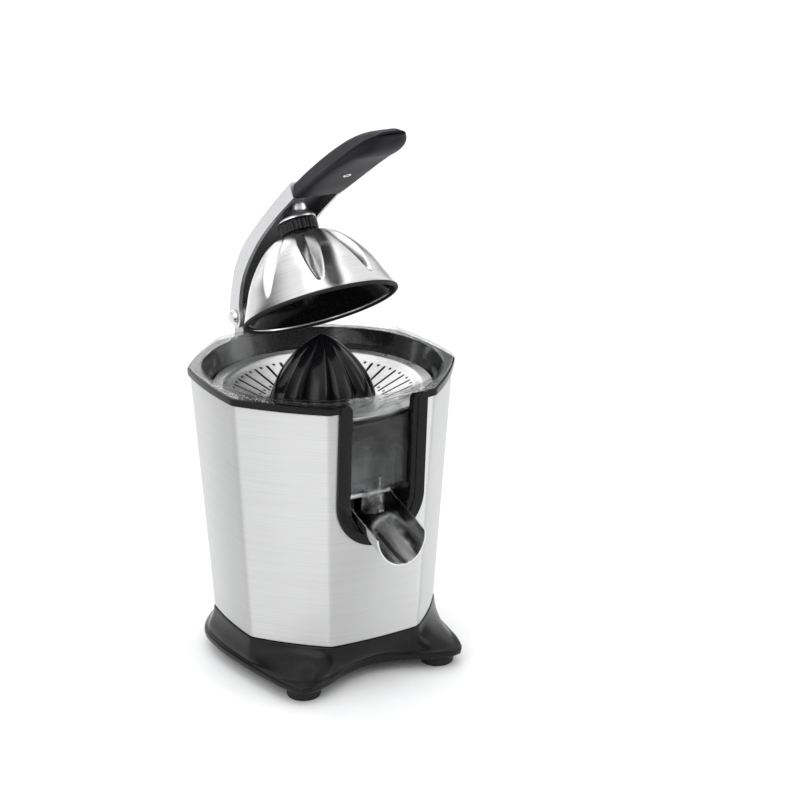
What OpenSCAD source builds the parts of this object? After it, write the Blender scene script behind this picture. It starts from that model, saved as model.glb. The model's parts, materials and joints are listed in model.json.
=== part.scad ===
// Lever citrus press: a motor turns the reamer when the fruit is pressed down on it.
// Millimetres, +Z up. The origin is on the reamer's axis, on the surface that the feet stand on.
// -Y is the front, with the window and the spout. +Y is the back, with the lever's hinge.

/* [Body] */
// Height of the rim above the ground
rim_z = 225; // [224:0.5:226]
// Distance from the axis to the corners of the eight-sided rim
rim_r = 97; // [96:0.5:98]
// Distance from the axis to the corners at the steel's lower edge
foot_r = 82.7; // [82:0.1:84]
// Height of the steel's lower edge
shell_z = 34; // [34:0.5:36]
// How far each face of the body bows out
bulge = 2.5; // [1.5:0.1:3]
// Thickness of the steel
shell_t = 1; // [0.6:0.1:1]

/* [Window and spout] */
// Half the width of the window frame
frame_w = 35.5; // [34.5:0.5:36]
// Half the width of the opening inside the window frame
window_w = 24; // [24:0.1:24.5]
// Height of the centre of the window frame's round lower end
frame_z = 145; // [143:1:147]
// Radius of the half-round spout
spout_r = 20; // [18:0.5:20]
// How far the spout slopes down towards its mouth, in degrees
spout_slope = 17; // [14:1:18]

/* [Bowl and reamer] */
// Radius of the mouth of the juice bowl
mouth_r = 87; // [86:0.5:87]
// Radius of the strainer
strainer_r = 80; // [79:0.5:80]
// Number of slots in the strainer
slot_count = 34; // [24:1:36]
// Radius of the reamer's skirt
reamer_r = 39; // [36:0.5:39]
// Height of the reamer from its skirt to its tip
reamer_h = 48; // [44:1:50]
// Number of flutes on the reamer
flute_count = 10; // [8:1:12]

/* [Lever and dome] */
// Angle of the lever above its closed position, in degrees
arm_raise = 32; // [0:1:60]
// Distance of the lever's pivot behind the reamer's axis
pivot_y = 99; // [99:0.5:100]
// Height of the lever's pivot
pivot_z = 234; // [234:0.5:235]
// Width of the lever
arm_w = 41; // [40:0.5:42]
// Thickness of the lever's walls
arm_t = 3; // [2.5:0.1:3]
// Radius of the dome's edge
dome_r = 57; // [56:0.5:58]
// Height of the dome's edge when the lever is closed
dome_z = 208.5; // [208.5:0.1:210]
// Number of petals pressed into the dome
petal_count = 8; // [6:1:10]

/* [Drive] */
// Teeth on each large gear
wheel_teeth = 50; // [48:1:50]
// Teeth on each small gear
pinion_teeth = 12; // [12:1:13]
// Radius of the drive spindle
spindle_r = 4; // [3.5:0.1:4]

/* [Hidden] */
$fn = 64;

// Angles of the body's corners, measured from the front towards +X
corner_angles = [-26, 26, 69.4, 115.7, 156, 204, 244.3, 290.6];
face_steps = 6;
// The steel ends here, under the collar
shell_top = 217;
// Lower edge of the black collar, just over the steel's upper edge
collar_z = 216.4;
lip_z = rim_z - 3;
clear = 0.4;
// Lean of the front face, in degrees, and its distance from the axis at the rim
front_lean = atan((rim_r - foot_r) * cos(26) / (rim_z - shell_z));
front_y = -(rim_r * cos(26) + bulge - 0.2);
frame_drop = rim_z - frame_z;

// Juice bowl
bowl_t = 2;
bowl_ledge_z = 205.5;
bowl_floor_z = 178;
bowl_r = 79;
tube_r = 9.5;
chamber_w = 23.2;
chamber_z = 150;
outlet_y = -72.5;
outlet_r = 8.2;

// Feet and base
base_z = 9;
foot_pad_r = 12.5;
foot_front = [56.2, -68.8];
foot_rear = [44, 56];
// The base's lower outline: pairs of angle from the front and distance from the axis
base_outline = [
    [0, 69.7], [10, 72.5], [20, 80.5], [29, 97], [37, 109], [46, 103], [55, 95],
    [66, 88.5], [82, 84.5], [100, 86], [118, 91], [136, 91.5], [158, 91.5], [180, 91]
];
base_steps = 72;
chin_z = 15.5;
deck_hole_r = 34;
boss_angles = [60, 180, 300];
boss_y = 60;

// Height of the cord's gland
gland_z = 23.5;

// Works
gear_m = 1;
deck_z = 170;
box_z = 128;
centre_gap = gear_m * (wheel_teeth + pinion_teeth) / 2;
idler_angle = 30;
idler = centre_gap * [cos(idler_angle), sin(idler_angle)];
motor = [0, centre_gap];
motor_r = 20;
pinion_z = 132;
output_z = 148;
gear_t = 8;
cup_z = 131;
lever_z = 123.5;
lever_rest = 12;
lever_pivot_x = -12;
peg_y = -18;

// Spout
spout_pin_y = -60;
spout_pin_z = 141;
spout_t = 1.2;
spout_length = 63;
// The trough's axis lies this far above the pin
spout_rise = 2.2;

// Lever, in its closed position: pairs of distance behind the axis and height
arm_top = [[108, 234], [106.5, 240.5], [93, 254.5], [76, 267.8], [50, 278], [5, 286], [-43, 291.5]];
arm_under = [[-43, 279.8], [-3.5, 276], [31, 269.8], [60, 260], [76, 250.5], [86, 240.5], [90, 234]];
grip_y = -43.1;
grip_split_z = 280;
grip_screw_y = [-90, -124];
ring_r = 14.5;
ring_z = dome_z + 56;
ring_h = 9;
stem_z = ring_z + ring_h;
dome_profile = [[57, 0], [52.2, 12], [46.3, 25.5], [37, 39.3], [25.6, 50.3], [13, 56]];

black = [0.08, 0.08, 0.085];
steel = [0.75, 0.75, 0.74];

// ---------- Shared shapes ----------

function corner(r, a) = [r * sin(a), -r * cos(a)];

// Points from p up to, but not including, q, bowed outwards by s
function bowed(p, q, s) = [
    for (i = [0 : face_steps - 1])
        let (t = i / face_steps, d = q - p, out = [d[1], -d[0]] / norm(d))
        p + d * t + out * s * 4 * t * (1 - t)
];

function shell_r(z) = foot_r + (rim_r - foot_r) * (z - shell_z) / (rim_z - shell_z);

// Catmull-Rom curve through a list of points, n steps between each pair
function spline(p, n) = concat([
    for (i = [0 : len(p) - 2], k = [0 : n - 1])
        let (
            t = k / n,
            a = p[max(i - 1, 0)], b = p[i], c = p[i + 1], d = p[min(i + 2, len(p) - 1)]
        )
        b + (c - a) * t / 2 + (a * 2 - b * 5 + c * 4 - d) * t * t / 2
            + (b * 3 - a - c * 3 + d) * t * t * t / 2
], [p[len(p) - 1]]);

// The same points moved sideways by d, to the left of the direction of travel
function shifted(p, d) = [
    for (i = [0 : len(p) - 1])
        let (v = p[min(i + 1, len(p) - 1)] - p[max(i - 1, 0)])
        p[i] + [-v[1], v[0]] / norm(v) * d
];

// The body's eight-sided outline with its corners at radius r
module outline(r) {
    polygon([
        for (i = [0 : 7])
            each bowed(corner(r, corner_angles[i]), corner(r, corner_angles[(i + 1) % 8]), bulge * r / rim_r)
    ]);
}

module tapered(r0, r1, z0, z1) {
    translate([0, 0, z0]) linear_extrude(z1 - z0, scale = r1 / r0) outline(r0);
}

// A solid that follows the shell's taper, inset by d from the steel's outer corners
module shell_solid(d, z0, z1) {
    tapered(shell_r(z0) - d, shell_r(z1) - d, z0, z1);
}

module tube(r_out, r_in, h) {
    difference() {
        cylinder(h = h, r = r_out);
        translate([0, 0, -1]) cylinder(h = h + 2, r = r_in);
    }
}

module mirror_x() {
    children();
    mirror([1, 0, 0]) children();
}

// A shape drawn in (x, z), with thickness from y0 to y1
module across_y(y0, y1) {
    translate([0, y1, 0]) rotate([90, 0, 0]) linear_extrude(y1 - y0) children();
}

// A shape drawn in (y, z), with thickness from -w to w along X
module across_x(w) {
    translate([-w, 0, 0]) rotate([90, 0, 90]) linear_extrude(2 * w) children();
}

// Frame of the front face: y runs inwards from the face, z up along it from the rim
module on_front() {
    translate([0, front_y, rim_z]) rotate([front_lean, 0, 0]) children();
}

// U shape in (x, z) with half-width w, reaching up to the height top
module u_shape(w, top) {
    translate([-w, -frame_drop]) square([2 * w, top + frame_drop]);
    translate([0, -frame_drop]) circle(r = w);
}

// Moves a part of the closed lever to the lever's raised position
module raised() {
    translate([0, pivot_y, pivot_z]) rotate([-arm_raise, 0, 0]) translate([0, -pivot_y, -pivot_z])
        children();
}

module cap_screw(r, length, head_r, head_h) {
    cylinder(h = length, r = r);
    translate([0, 0, -head_h]) difference() {
        cylinder(h = head_h, r = head_r);
        translate([0, 0, -1]) cylinder(h = head_h * 0.6 + 1, r = head_r * 0.5, $fn = 6);
    }
}

function involute(rb, a) = rb * [cos(a) + a * PI / 180 * sin(a), sin(a) - a * PI / 180 * cos(a)];

function turned(p, a) = [p[0] * cos(a) - p[1] * sin(a), p[0] * sin(a) + p[1] * cos(a)];

// Outline of a spur gear with a 20 degree pressure angle and a little backlash
module gear_outline(n) {
    rp = gear_m * n / 2;
    rb = rp * cos(20);
    ra = rp + gear_m * 0.9;
    rf = rp - gear_m * 1.2;
    half = 90 / n - 2.2 / rp;
    a_pitch = tan(20) * 180 / PI;
    a_tip = sqrt(pow(ra / rb, 2) - 1) * 180 / PI;
    start = half + a_pitch - 20;
    flank = [for (i = [0 : 4]) turned(involute(rb, a_tip * i / 4), -start)];
    root = rf * [cos(start + 0.4), -sin(start + 0.4)];
    other_side = [for (i = [4 : -1 : 0]) [flank[i][0], -flank[i][1]]];
    tooth = concat([root], flank, other_side, [[root[0], -root[1]]]);
    polygon([for (i = [0 : n - 1]) each [for (p = tooth) turned(p, i * 360 / n)]]);
}

// ---------- Feet and base ----------

module foot(p) {
    color(black) translate([p[0], p[1], 0]) rotate_extrude()
        polygon([[4.5, 0], [11.5, 0], [foot_pad_r, 2], [foot_pad_r, 7.5], [11, base_z], [2.1, base_z],
            [2.1, 5], [4.5, 5]]);
}

module at_feet() {
    mirror_x() {
        translate(foot_front) children();
        translate(foot_rear) children();
    }
}

module foot_screws() {
    color(steel) at_feet() translate([0, 0, 5]) cap_screw(1.9, 14, 3.6, 2.4);
}

// Distance from the axis to the eight-sided outline with corners at radius r, at angle a from the front
function outline_r(r, a) =
    let (
        m = a > 180 ? 360 - a : a,
        i = max([for (k = [0 : 4]) corner_angles[k] <= m ? k : 0]),
        span = corner_angles[i + 1] - corner_angles[i],
        across = m - corner_angles[i] - span / 2,
        side = 1 - pow(2 * across / span, 2)
    )
    r * cos(span / 2) / cos(across) + bulge * side;

function base_outline_r(a) = lookup_smooth(base_outline, a > 180 ? 360 - a : a);

// Smooth interpolation in a list of pairs, flat at both ends
function lookup_smooth(p, x) =
    let (
        i = max([for (k = [0 : len(p) - 2]) p[k][0] <= x ? k : 0]),
        t = (x - p[i][0]) / (p[i + 1][0] - p[i][0]),
        a = p[max(i - 1, 0)][1], b = p[i][1], c = p[i + 1][1], d = p[min(i + 2, len(p) - 1)][1]
    )
    b + (c - a) * t / 2 + (a * 2 - b * 5 + c * 4 - d) * t * t / 2 + (b * 3 - a - c * 3 + d) * t * t * t / 2;

// One ring of the base's surface at height z, inset by d: an upright chin, then a hollow
// slope up to the steel
function base_ring(z, d) = [
    for (i = [0 : base_steps - 1])
        let (
            a = i * 360 / base_steps,
            u = max(0, (z - chin_z + 1.5) / (shell_z - chin_z + 1.5)),
            low = base_outline_r(a) - (abs(z - chin_z) < 0.1 || z == base_z ? 1 : 0),
            high = outline_r(foot_r + 0.8, a),
            r = high + (low - high) * pow(1 - u, 1.9) - d
        )
        [r * sin(a), -r * cos(a), z]
];

function deck_ring(z) = [
    for (i = [0 : base_steps - 1])
        let (a = i * 360 / base_steps) [deck_hole_r * sin(a), -deck_hole_r * cos(a), z]
];

// The moulding as one closed skin: up the outside, across the deck to its hole, and down the inside
module base_skin() {
    wall = 3;
    rings = concat(
        [for (z = [base_z, base_z + 1, chin_z - 1.5, chin_z, chin_z + 2, chin_z + 5, chin_z + 9, shell_z])
            base_ring(z, 0)],
        [deck_ring(shell_z), deck_ring(shell_z - wall)],
        [for (z = [shell_z - wall, chin_z + 9, chin_z + 3, chin_z - 1.5, base_z]) base_ring(z, wall)]
    );
    n = len(rings);
    points = [for (ring = rings) each ring];
    faces = [
        for (j = [0 : n - 1], i = [0 : base_steps - 1])
            let (
                k = (i + 1) % base_steps, next = (j + 1) % n,
                a = j * base_steps + i, b = j * base_steps + k,
                c = next * base_steps + i, d = next * base_steps + k
            )
            each [[a, d, b], [a, c, d]]
    ];
    polyhedron(points, faces);
}

module at_bosses() {
    for (a = boss_angles) rotate(a) translate([0, boss_y, 0]) children();
}

module base() {
    color(black) difference() {
        union() {
            base_skin();
            mirror_x() translate([foot_front[0], foot_front[1], base_z]) cylinder(h = 11, r = 5);
            mirror_x() translate([foot_rear[0], foot_rear[1], base_z]) cylinder(h = 23, r = 5);
            at_bosses() translate([0, 0, base_z + 2.5]) cylinder(h = 20, r = 4.5);
        }
        at_feet() translate([0, 0, base_z - 1]) cylinder(h = 12, r = 2);
        at_bosses() cylinder(h = 40, r = 1.75);
        translate([0, 78, gland_z]) rotate([-90, 0, 0]) cylinder(h = 20, r = 6);
    }
}

module base_plate() {
    color(black) translate([0, 0, base_z]) linear_extrude(2.5) difference() {
        polygon([
            for (i = [0 : 59])
                let (a = i * 6, r = min(base_outline_r(a) - 5, 85))
                [r * sin(a), -r * cos(a)]
        ]);
        mirror_x() translate(foot_front) circle(r = foot_pad_r);
        mirror_x() translate(foot_rear) circle(r = foot_pad_r);
        for (a = boss_angles) rotate(a) translate([0, boss_y]) circle(r = 1.75);
        for (x = [-24 : 8 : 24]) translate([x - 1.5, -30]) square([3, 60]);
    }
}

module base_screws() {
    color(steel) at_bosses() translate([0, 0, base_z - 0.1]) cap_screw(1.6, 34, 3.4, 2.2);
}

module cord_gland() {
    color(black) translate([0, 79.5, gland_z]) rotate([-90, 0, 0]) difference() {
        union() {
            cylinder(h = 14, r = 5.9);
            translate([0, 0, 8.8]) cylinder(h = 3, r = 6.8);
            translate([0, 0, 11.8]) cylinder(h = 6, r1 = 6.5, r2 = 5.3);
        }
        translate([0, 0, -1]) cylinder(h = 21, r = 3.6);
    }
}

// ---------- Casing ----------

module body_shell() {
    color(steel) difference() {
        shell_solid(0, shell_z, shell_top);
        shell_solid(shell_t * 1.1, shell_z - 1, shell_top + 1);
        on_front() across_y(-6, 30) u_shape(frame_w - 3, 5);
        bracket_holes(2.2);
    }
}

module inner_body() {
    wall = 2.5;
    gap = shell_t * 1.1 + clear;
    color(black) difference() {
        union() {
            difference() {
                shell_solid(gap, shell_z, bowl_ledge_z - 0.5);
                shell_solid(gap + wall, shell_z - 1, bowl_ledge_z + 1);
            }
            shell_solid(gap + 1, deck_z, deck_z + 3);
            at_bosses() translate([0, 0, shell_z]) cylinder(h = 24, r = 4.5);
            intersection() {
                shell_solid(gap + 1, shell_z, shell_z + 20);
                at_bosses() translate([-2, 0, shell_z - 1]) cube([4, 30, 21]);
            }
            cover_posts() translate([0, 0, box_z + 34]) cylinder(h = 9, r = 4);
        }
        on_front() across_y(-6, 42) u_shape(frame_w - 3, 5);
        translate([0, 0, deck_z - 1]) cylinder(h = 6, r = 11);
        at_bosses() cylinder(h = 50, r = 1.75);
        cover_posts() translate([0, 0, 100]) cylinder(h = 69, r = 1.6);
        bracket_holes(1.7);
    }
}

module top_collar() {
    color(black) difference() {
        union() {
            tapered(rim_r + 1, rim_r + 1.2, collar_z, lip_z - 0.2);
            translate([0, 0, bowl_ledge_z]) cylinder(h = 2, r = 88.2, $fn = 128);
            translate([0, 0, bowl_ledge_z])
                cylinder(h = collar_z + 1 - bowl_ledge_z, r1 = 85, r2 = 87, $fn = 128);
        }
        difference() {
            shell_solid(-0.2, shell_z, shell_top + 0.2);
            translate([0, 0, 200]) cylinder(h = 10, r = 88.2, $fn = 128);
            translate([0, 0, 200]) cylinder(h = 30, r1 = 84.8, r2 = 90.5, $fn = 128);
        }
        bowl_outside(0.5);
        on_front() across_y(-8, 20) u_shape(frame_w, 10);
    }
}

module front_bezel() {
    tunnel_top = deck_z - rim_z + 3;
    color(black) difference() {
        union() {
            on_front() across_y(-1, 2.5) u_shape(frame_w - 0.1, -3.2);
            on_front() across_y(0, 37) u_shape(window_w + 2, tunnel_top);
        }
        on_front() across_y(-3, 35) u_shape(window_w, 10);
        difference() {
            shell_solid(-0.1, shell_z + 40, rim_z);
            on_front() across_y(-20, 60) u_shape(frame_w - 3.3, 20);
        }
        in_spout() across_y(-60, 10) translate([0, spout_rise]) circle(r = spout_r + 0.6);
        on_front() translate([-60, 2.5, -frame_drop - 60]) difference() {
            cube([120, 50, 200]);
            translate([0, -1, -1]) cube([120, 52, 61 + frame_drop + tunnel_top]);
        }
        translate([-40, spout_pin_y, spout_pin_z]) rotate([0, 90, 0]) cylinder(h = 80, r = 2.05);
    }
}

// ---------- Bowl, strainer and spout ----------

function bowl_slope_r(z) = strainer_r + 0.5
    + (mouth_r - strainer_r - 0.5) * (z - bowl_ledge_z) / (rim_z - bowl_ledge_z);

// The bowl's outer surface of revolution, grown by g
module bowl_outside(g) {
    rotate_extrude($fn = 128) polygon([
        [0, bowl_floor_z - g],
        [bowl_r + g, bowl_floor_z - g],
        [bowl_r + g, bowl_ledge_z - 3],
        [bowl_slope_r(bowl_ledge_z) + bowl_t + g, bowl_ledge_z],
        [bowl_slope_r(rim_z) + bowl_t + g, rim_z],
        [0, rim_z]
    ]);
}

// The window chamber's side view, grown by g
module chamber_side(g, top) {
    lean = tan(front_lean);
    polygon([
        [-83.4 - g, 205], [-83.4 + lean * (205 - chamber_z) - g, chamber_z - g],
        [-56 + g, chamber_z - g], [-56 + g, top], [-83.4 - g, top]
    ]);
}

module juice_bowl() {
    color([0.85, 0.88, 0.9, 0.4]) difference() {
        union() {
            bowl_outside(0);
            translate([0, 0, lip_z]) linear_extrude(rim_z - lip_z) outline(rim_r);
            across_x(chamber_w) chamber_side(0, 205);
            translate([0, outlet_y, chamber_z - 17]) cylinder(h = 18, r = outlet_r);
        }
        difference() {
            union() {
                rotate_extrude($fn = 128) polygon([
                    [0, bowl_floor_z + bowl_t],
                    [bowl_r - bowl_t, bowl_floor_z + bowl_t],
                    [bowl_r - bowl_t, bowl_ledge_z],
                    [bowl_slope_r(bowl_ledge_z), bowl_ledge_z],
                    [mouth_r, rim_z],
                    [mouth_r, rim_z + 5],
                    [0, rim_z + 5]
                ]);
                across_x(chamber_w - bowl_t) chamber_side(-bowl_t, 204);
            }
            cylinder(h = 204, r = tube_r);
        }
        translate([0, outlet_y, chamber_z - 20]) cylinder(h = 30, r = outlet_r - 1.6);
        translate([0, 0, 150]) cylinder(h = 80, r = tube_r - 2);
    }
}

module strainer() {
    t = 0.8;
    color(steel) difference() {
        rotate_extrude($fn = 128) polygon([
            [strainer_r, 206.6], [strainer_r, 206.6 + t], [72.5, 206.6 + t], [69.5, 204.6 + t],
            [42, 192.6 + t], [13, 192.6 + t], [13, 192.6], [42.2, 192.6], [69.8, 204.6], [72.8, 206.6]
        ]);
        for (i = [0 : slot_count - 1]) rotate((i + 0.5) * 360 / slot_count) {
            translate([44, -1.1, 185]) cube([22, 2.2, 30]);
            rotate(180 / slot_count) for (r = [47, 65]) translate([r, 0, 185]) cylinder(h = 30, r = 1.2);
        }
    }
}

// Frame of the spout: the pin is at the origin and -Y runs down the trough
module in_spout() {
    translate([0, spout_pin_y, spout_pin_z]) rotate([spout_slope, 0, 0]) children();
}

module spout() {
    color(steel) in_spout() difference() {
        union() {
            across_y(-spout_length, -2) translate([0, spout_rise]) difference() {
                intersection() {
                    circle(r = spout_r);
                    translate([-30, -30]) square([60, 30]);
                }
                circle(r = spout_r - spout_t);
            }
            mirror_x() translate([spout_r - spout_t - 0.1, 0, 0]) rotate([90, 0, 90])
                linear_extrude(spout_t) polygon([
                    [-14, -3], [-14, spout_rise - 1], [-2, 3.1], [3, 3.1], [4.5, 1], [4.5, -5], [-2, -6]
                ]);
        }
        // The mouth is cut back so that its lower lip reaches furthest
        across_x(40) polygon([
            [-spout_length - 1, -spout_r], [-spout_length + 0.5, -spout_r + 4], [-spout_length + 3.5, -8],
            [-spout_length + 9.4, spout_rise + 1], [-spout_length - 1, spout_rise + 1]
        ]);
        translate([-40, 0, 0]) rotate([0, 90, 0]) cylinder(h = 80, r = 2.05);
    }
}

module spout_pin() {
    color(steel) translate([-window_w - 1.8, spout_pin_y, spout_pin_z]) rotate([0, 90, 0])
        cylinder(h = 2 * window_w + 3.6, r = 2);
}

// ---------- Works ----------

module cover_posts() {
    for (p = [[-25, -22], [25, -22], [-25, 40], [41, 43]]) translate(p) children();
}

module box_outline(grow) {
    hull() {
        circle(r = 28.5 + grow);
        translate(idler) circle(r = 28.5 + grow);
        translate(motor) circle(r = 14 + grow);
        translate([-25, -22]) circle(r = 4 + grow);
        translate([-25, 40]) circle(r = 4 + grow);
    }
}

module gearbox_housing() {
    color([0.75, 0.76, 0.72]) difference() {
        union() {
            translate([0, 0, box_z]) linear_extrude(30) difference() {
                box_outline(2);
                box_outline(0);
            }
            translate([0, 0, box_z]) linear_extrude(3) box_outline(1);
            translate([0, 0, 106]) cylinder(h = box_z - 105, r = 10);
            translate([idler[0], idler[1], box_z]) cylinder(h = 4.5, r = 4);
            cover_posts() translate([0, 0, box_z]) cylinder(h = 30, r = 4);
            translate([-13, peg_y - 4.5, 108]) cube([4, 2, 21]);
            translate([9, peg_y - 4.5, 108]) cube([4, 2, 21]);
        }
        translate([0, 0, 108]) cylinder(h = 40, r = 8);
        translate([0, peg_y, box_z - 1]) cylinder(h = 6, r = 2.2);
        translate([-2.9, peg_y, box_z + 3]) cube([5.8, 18, 12]);
        translate([idler[0], idler[1], box_z - 1]) cylinder(h = 8, r = 2);
        translate([motor[0], motor[1], box_z - 1]) cylinder(h = 6, r = 5);
        for (s = [-1, 1]) translate([motor[0] + s * 12, motor[1], box_z - 1]) cylinder(h = 6, r = 1.6);
        cover_posts() translate([0, 0, 100]) cylinder(h = 70, r = 1.6);
    }
}

module gearbox_cover() {
    color([0.75, 0.76, 0.72]) translate([0, 0, box_z + 30]) difference() {
        union() {
            linear_extrude(3) box_outline(2);
            cylinder(h = 8, r = 9);
        }
        translate([0, 0, -1]) cylinder(h = 12, r = 6);
        translate([idler[0], idler[1], -1]) cylinder(h = 6, r = 2);
        cover_posts() translate([0, 0, -1]) cylinder(h = 12, r = 1.6);
    }
}

module gearbox_screws() {
    color(steel) cover_posts() translate([0, 0, box_z]) cap_screw(1.5, 39, 3.2, 2);
}

module motor_can() {
    color([0.6, 0.6, 0.62]) translate([motor[0], motor[1], 62]) difference() {
        cylinder(h = box_z - 62, r = motor_r);
        translate([0, 0, 2]) cylinder(h = box_z - 66, r = motor_r - 3);
        translate([0, 0, -1]) cylinder(h = 80, r = 2.6);
        for (s = [-1, 1]) translate([s * 12, 0, box_z - 66]) cylinder(h = 6, r = 1.6);
        for (a = [0 : 60 : 300]) rotate(a) translate([11, 0, -1]) cylinder(h = 4, r = 2.5);
    }
}

module motor_screws() {
    color(steel) for (s = [-1, 1]) translate([motor[0] + s * 12, motor[1], box_z + 3]) mirror([0, 0, 1])
        cap_screw(1.5, 6, 2.6, 1.5);
}

module motor_rotor() {
    color([0.55, 0.35, 0.2]) translate([motor[0], motor[1], 76]) difference() {
        cylinder(h = 36, r = 12);
        translate([0, 0, -1]) cylinder(h = 38, r = 2.5);
        for (a = [0 : 45 : 315]) rotate(a) translate([11, -1, -1]) cube([5, 2, 38]);
    }
}

module motor_shaft() {
    color(steel) translate([motor[0], motor[1], 60]) cylinder(h = 81, r = 2.5);
}

module motor_pinion() {
    color([0.85, 0.8, 0.6]) translate([motor[0], motor[1], pinion_z]) linear_extrude(gear_t) difference() {
        rotate(bearing(motor, idler) + 180 / pinion_teeth) gear_outline(pinion_teeth);
        circle(r = 2.5);
    }
}

// Angle from one point to another
function bearing(p, q) = atan2(q[1] - p[1], q[0] - p[0]);

module idler_gear() {
    color([0.9, 0.88, 0.8]) translate([idler[0], idler[1], 0]) difference() {
        union() {
            translate([0, 0, pinion_z + 1]) linear_extrude(gear_t - 2)
                rotate(bearing(idler, motor)) gear_outline(wheel_teeth);
            translate([0, 0, pinion_z + 6]) linear_extrude(19)
                rotate(bearing(idler, [0, 0])) gear_outline(pinion_teeth);
        }
        translate([0, 0, 120]) cylinder(h = 60, r = 2.05);
    }
}

module idler_pin() {
    color(steel) translate([idler[0], idler[1], box_z]) cylinder(h = 33, r = 2);
}

module output_gear() {
    color([0.9, 0.88, 0.8]) translate([0, 0, output_z]) linear_extrude(gear_t) difference() {
        rotate(idler_angle + 180 / wheel_teeth) gear_outline(wheel_teeth);
        circle(r = spindle_r);
    }
}

module drive_spindle() {
    color(steel) difference() {
        translate([0, 0, 137.2]) cylinder(h = 90.8, r = spindle_r);
        translate([2.8, -5, 208]) cube([5, 10, 30]);
    }
}

module spindle_bush() {
    color([0.7, 0.5, 0.3]) translate([0, 0, box_z + 30]) tube(6, spindle_r + 0.05, 12);
}

module shaft_seal() {
    color(black) translate([0, 0, deck_z + 0.5]) difference() {
        union() {
            cylinder(h = 2.5, r = 10.8);
            cylinder(h = 7, r = 7);
        }
        translate([0, 0, -1]) cylinder(h = 10, r = spindle_r + 0.08);
    }
}

module thrust_cup() {
    color([0.9, 0.9, 0.88]) {
        translate([0, 0, cup_z]) cylinder(h = 1.6, r = 7.6);
        translate([0, 0, cup_z]) cylinder(h = 6.1, r = 4.7);
        translate([-2.5, peg_y, cup_z + 3.2]) cube([5, -peg_y, 2.8]);
        translate([0, peg_y, lever_z + 3.4]) cylinder(h = 11, r = 1.6);
    }
}

spring_turns = 5;
spring_r = 5.5;
spring_wire = 0.6;
spring_bottom = 108.1;
spring_top = cup_z - 0.1;

// Closed coil: rings of eight points swept along a helix
module return_spring() {
    steps = spring_turns * 20;
    rise = (spring_top - spring_bottom - 2 * spring_wire) / steps;
    points = [
        for (i = [0 : steps], k = [0 : 7])
            let (a = i * 18, r = spring_r + spring_wire * cos(k * 45))
            [r * cos(a), r * sin(a), spring_bottom + spring_wire + i * rise + spring_wire * sin(k * 45)]
    ];
    sides = [
        for (i = [0 : steps - 1], k = [0 : 7])
            let (a = i * 8 + k, b = i * 8 + (k + 1) % 8)
            [a, a + 8, b + 8, b]
    ];
    color(steel) polyhedron(points, concat([[0, 1, 2, 3, 4, 5, 6, 7]], sides,
        [[for (k = [7 : -1 : 0]) steps * 8 + k]]));
}

module microswitch() {
    color(black) difference() {
        union() {
            translate([-13, peg_y - 2.4, 111]) cube([22, 6.4, 10.5]);
            mirror_switch_ears() translate([lever_pivot_x - 1, 0, 121]) cube([2.4, 1.2, 4]);
        }
        mirror_switch_ears() translate([lever_pivot_x, 3, lever_z]) rotate([90, 0, 0])
            cylinder(h = 6, r = 0.55);
    }
}

module mirror_switch_ears() {
    translate([0, peg_y - 2.4, 0]) children();
    translate([0, peg_y + 2.8, 0]) children();
}

module switch_lever() {
    color(steel) translate([lever_pivot_x, peg_y + 0.8, lever_z]) rotate([0, -lever_rest, 0]) {
        translate([0.2, -1.6, -0.4]) cube([15, 3.2, 0.8]);
        rotate([90, 0, 0]) translate([0, 0, -1.8]) cylinder(h = 3.6, r = 0.8);
        rotate([90, 0, 0]) translate([0, 0, -3.1]) cylinder(h = 6.2, r = 0.5);
    }
}

module terminal_block() {
    color([0.92, 0.92, 0.9]) translate([-42, 22, shell_z + 0.2]) difference() {
        cube([14, 26, 14]);
        for (y = [5 : 8 : 21]) {
            translate([-1, y, 5]) rotate([0, 90, 0]) cylinder(h = 16, r = 2);
            translate([7, y, 8]) cylinder(h = 8, r = 2);
        }
    }
}

// ---------- Reamer ----------

// Reamer radius at a height fraction t and an angle a: round flutes that fade towards the skirt
function reamer_radius(t, a) =
    let (
        body = reamer_r * pow(1 - pow(t, 1.7), 0.72) * (1 - 0.1 * t),
        crease = 1 - abs(cos(a * flute_count / 2)),
        depth = 0.17 * min(1, t * 6 + 0.15)
    )
    max(body * (1 - depth * pow(crease, 2)), 0.9);

reamer_z = 196.5;

module reamer_cone() {
    rings = 12;
    around = flute_count * 8;
    points = [
        for (j = [0 : rings], i = [0 : around - 1])
            let (t = j / rings, a = i * 360 / around, r = reamer_radius(t, a))
            [r * cos(a), r * sin(a), reamer_z + t * reamer_h]
    ];
    sides = [
        for (j = [0 : rings - 1], i = [0 : around - 1])
            let (a = j * around + i, b = j * around + (i + 1) % around)
            each [[a, b + around, b], [a, a + around, b + around]]
    ];
    color(black) difference() {
        polyhedron(points, concat([[for (i = [0 : around - 1]) i]], sides,
            [[for (i = [around - 1 : -1 : 0]) rings * around + i]]));
        difference() {
            translate([0, 0, reamer_z - 1]) cylinder(h = reamer_h - 6, r1 = reamer_r - 6.5, r2 = 10);
            cylinder(h = 300, r = 7);
        }
        translate([0, 0, reamer_z - 1]) cylinder(h = 13, r = 12);
        difference() {
            translate([0, 0, reamer_z - 1]) cylinder(h = 33, r = spindle_r + 0.05);
            translate([2.9, -5, reamer_z]) cube([5, 10, 40]);
        }
    }
}

// ---------- Hinge ----------

bracket_z = 196;

module bracket_holes(r) {
    for (x = [-9, 9]) translate([x, 70, bracket_z]) rotate([-90, 0, 0]) cylinder(h = 50, r = r);
}

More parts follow.
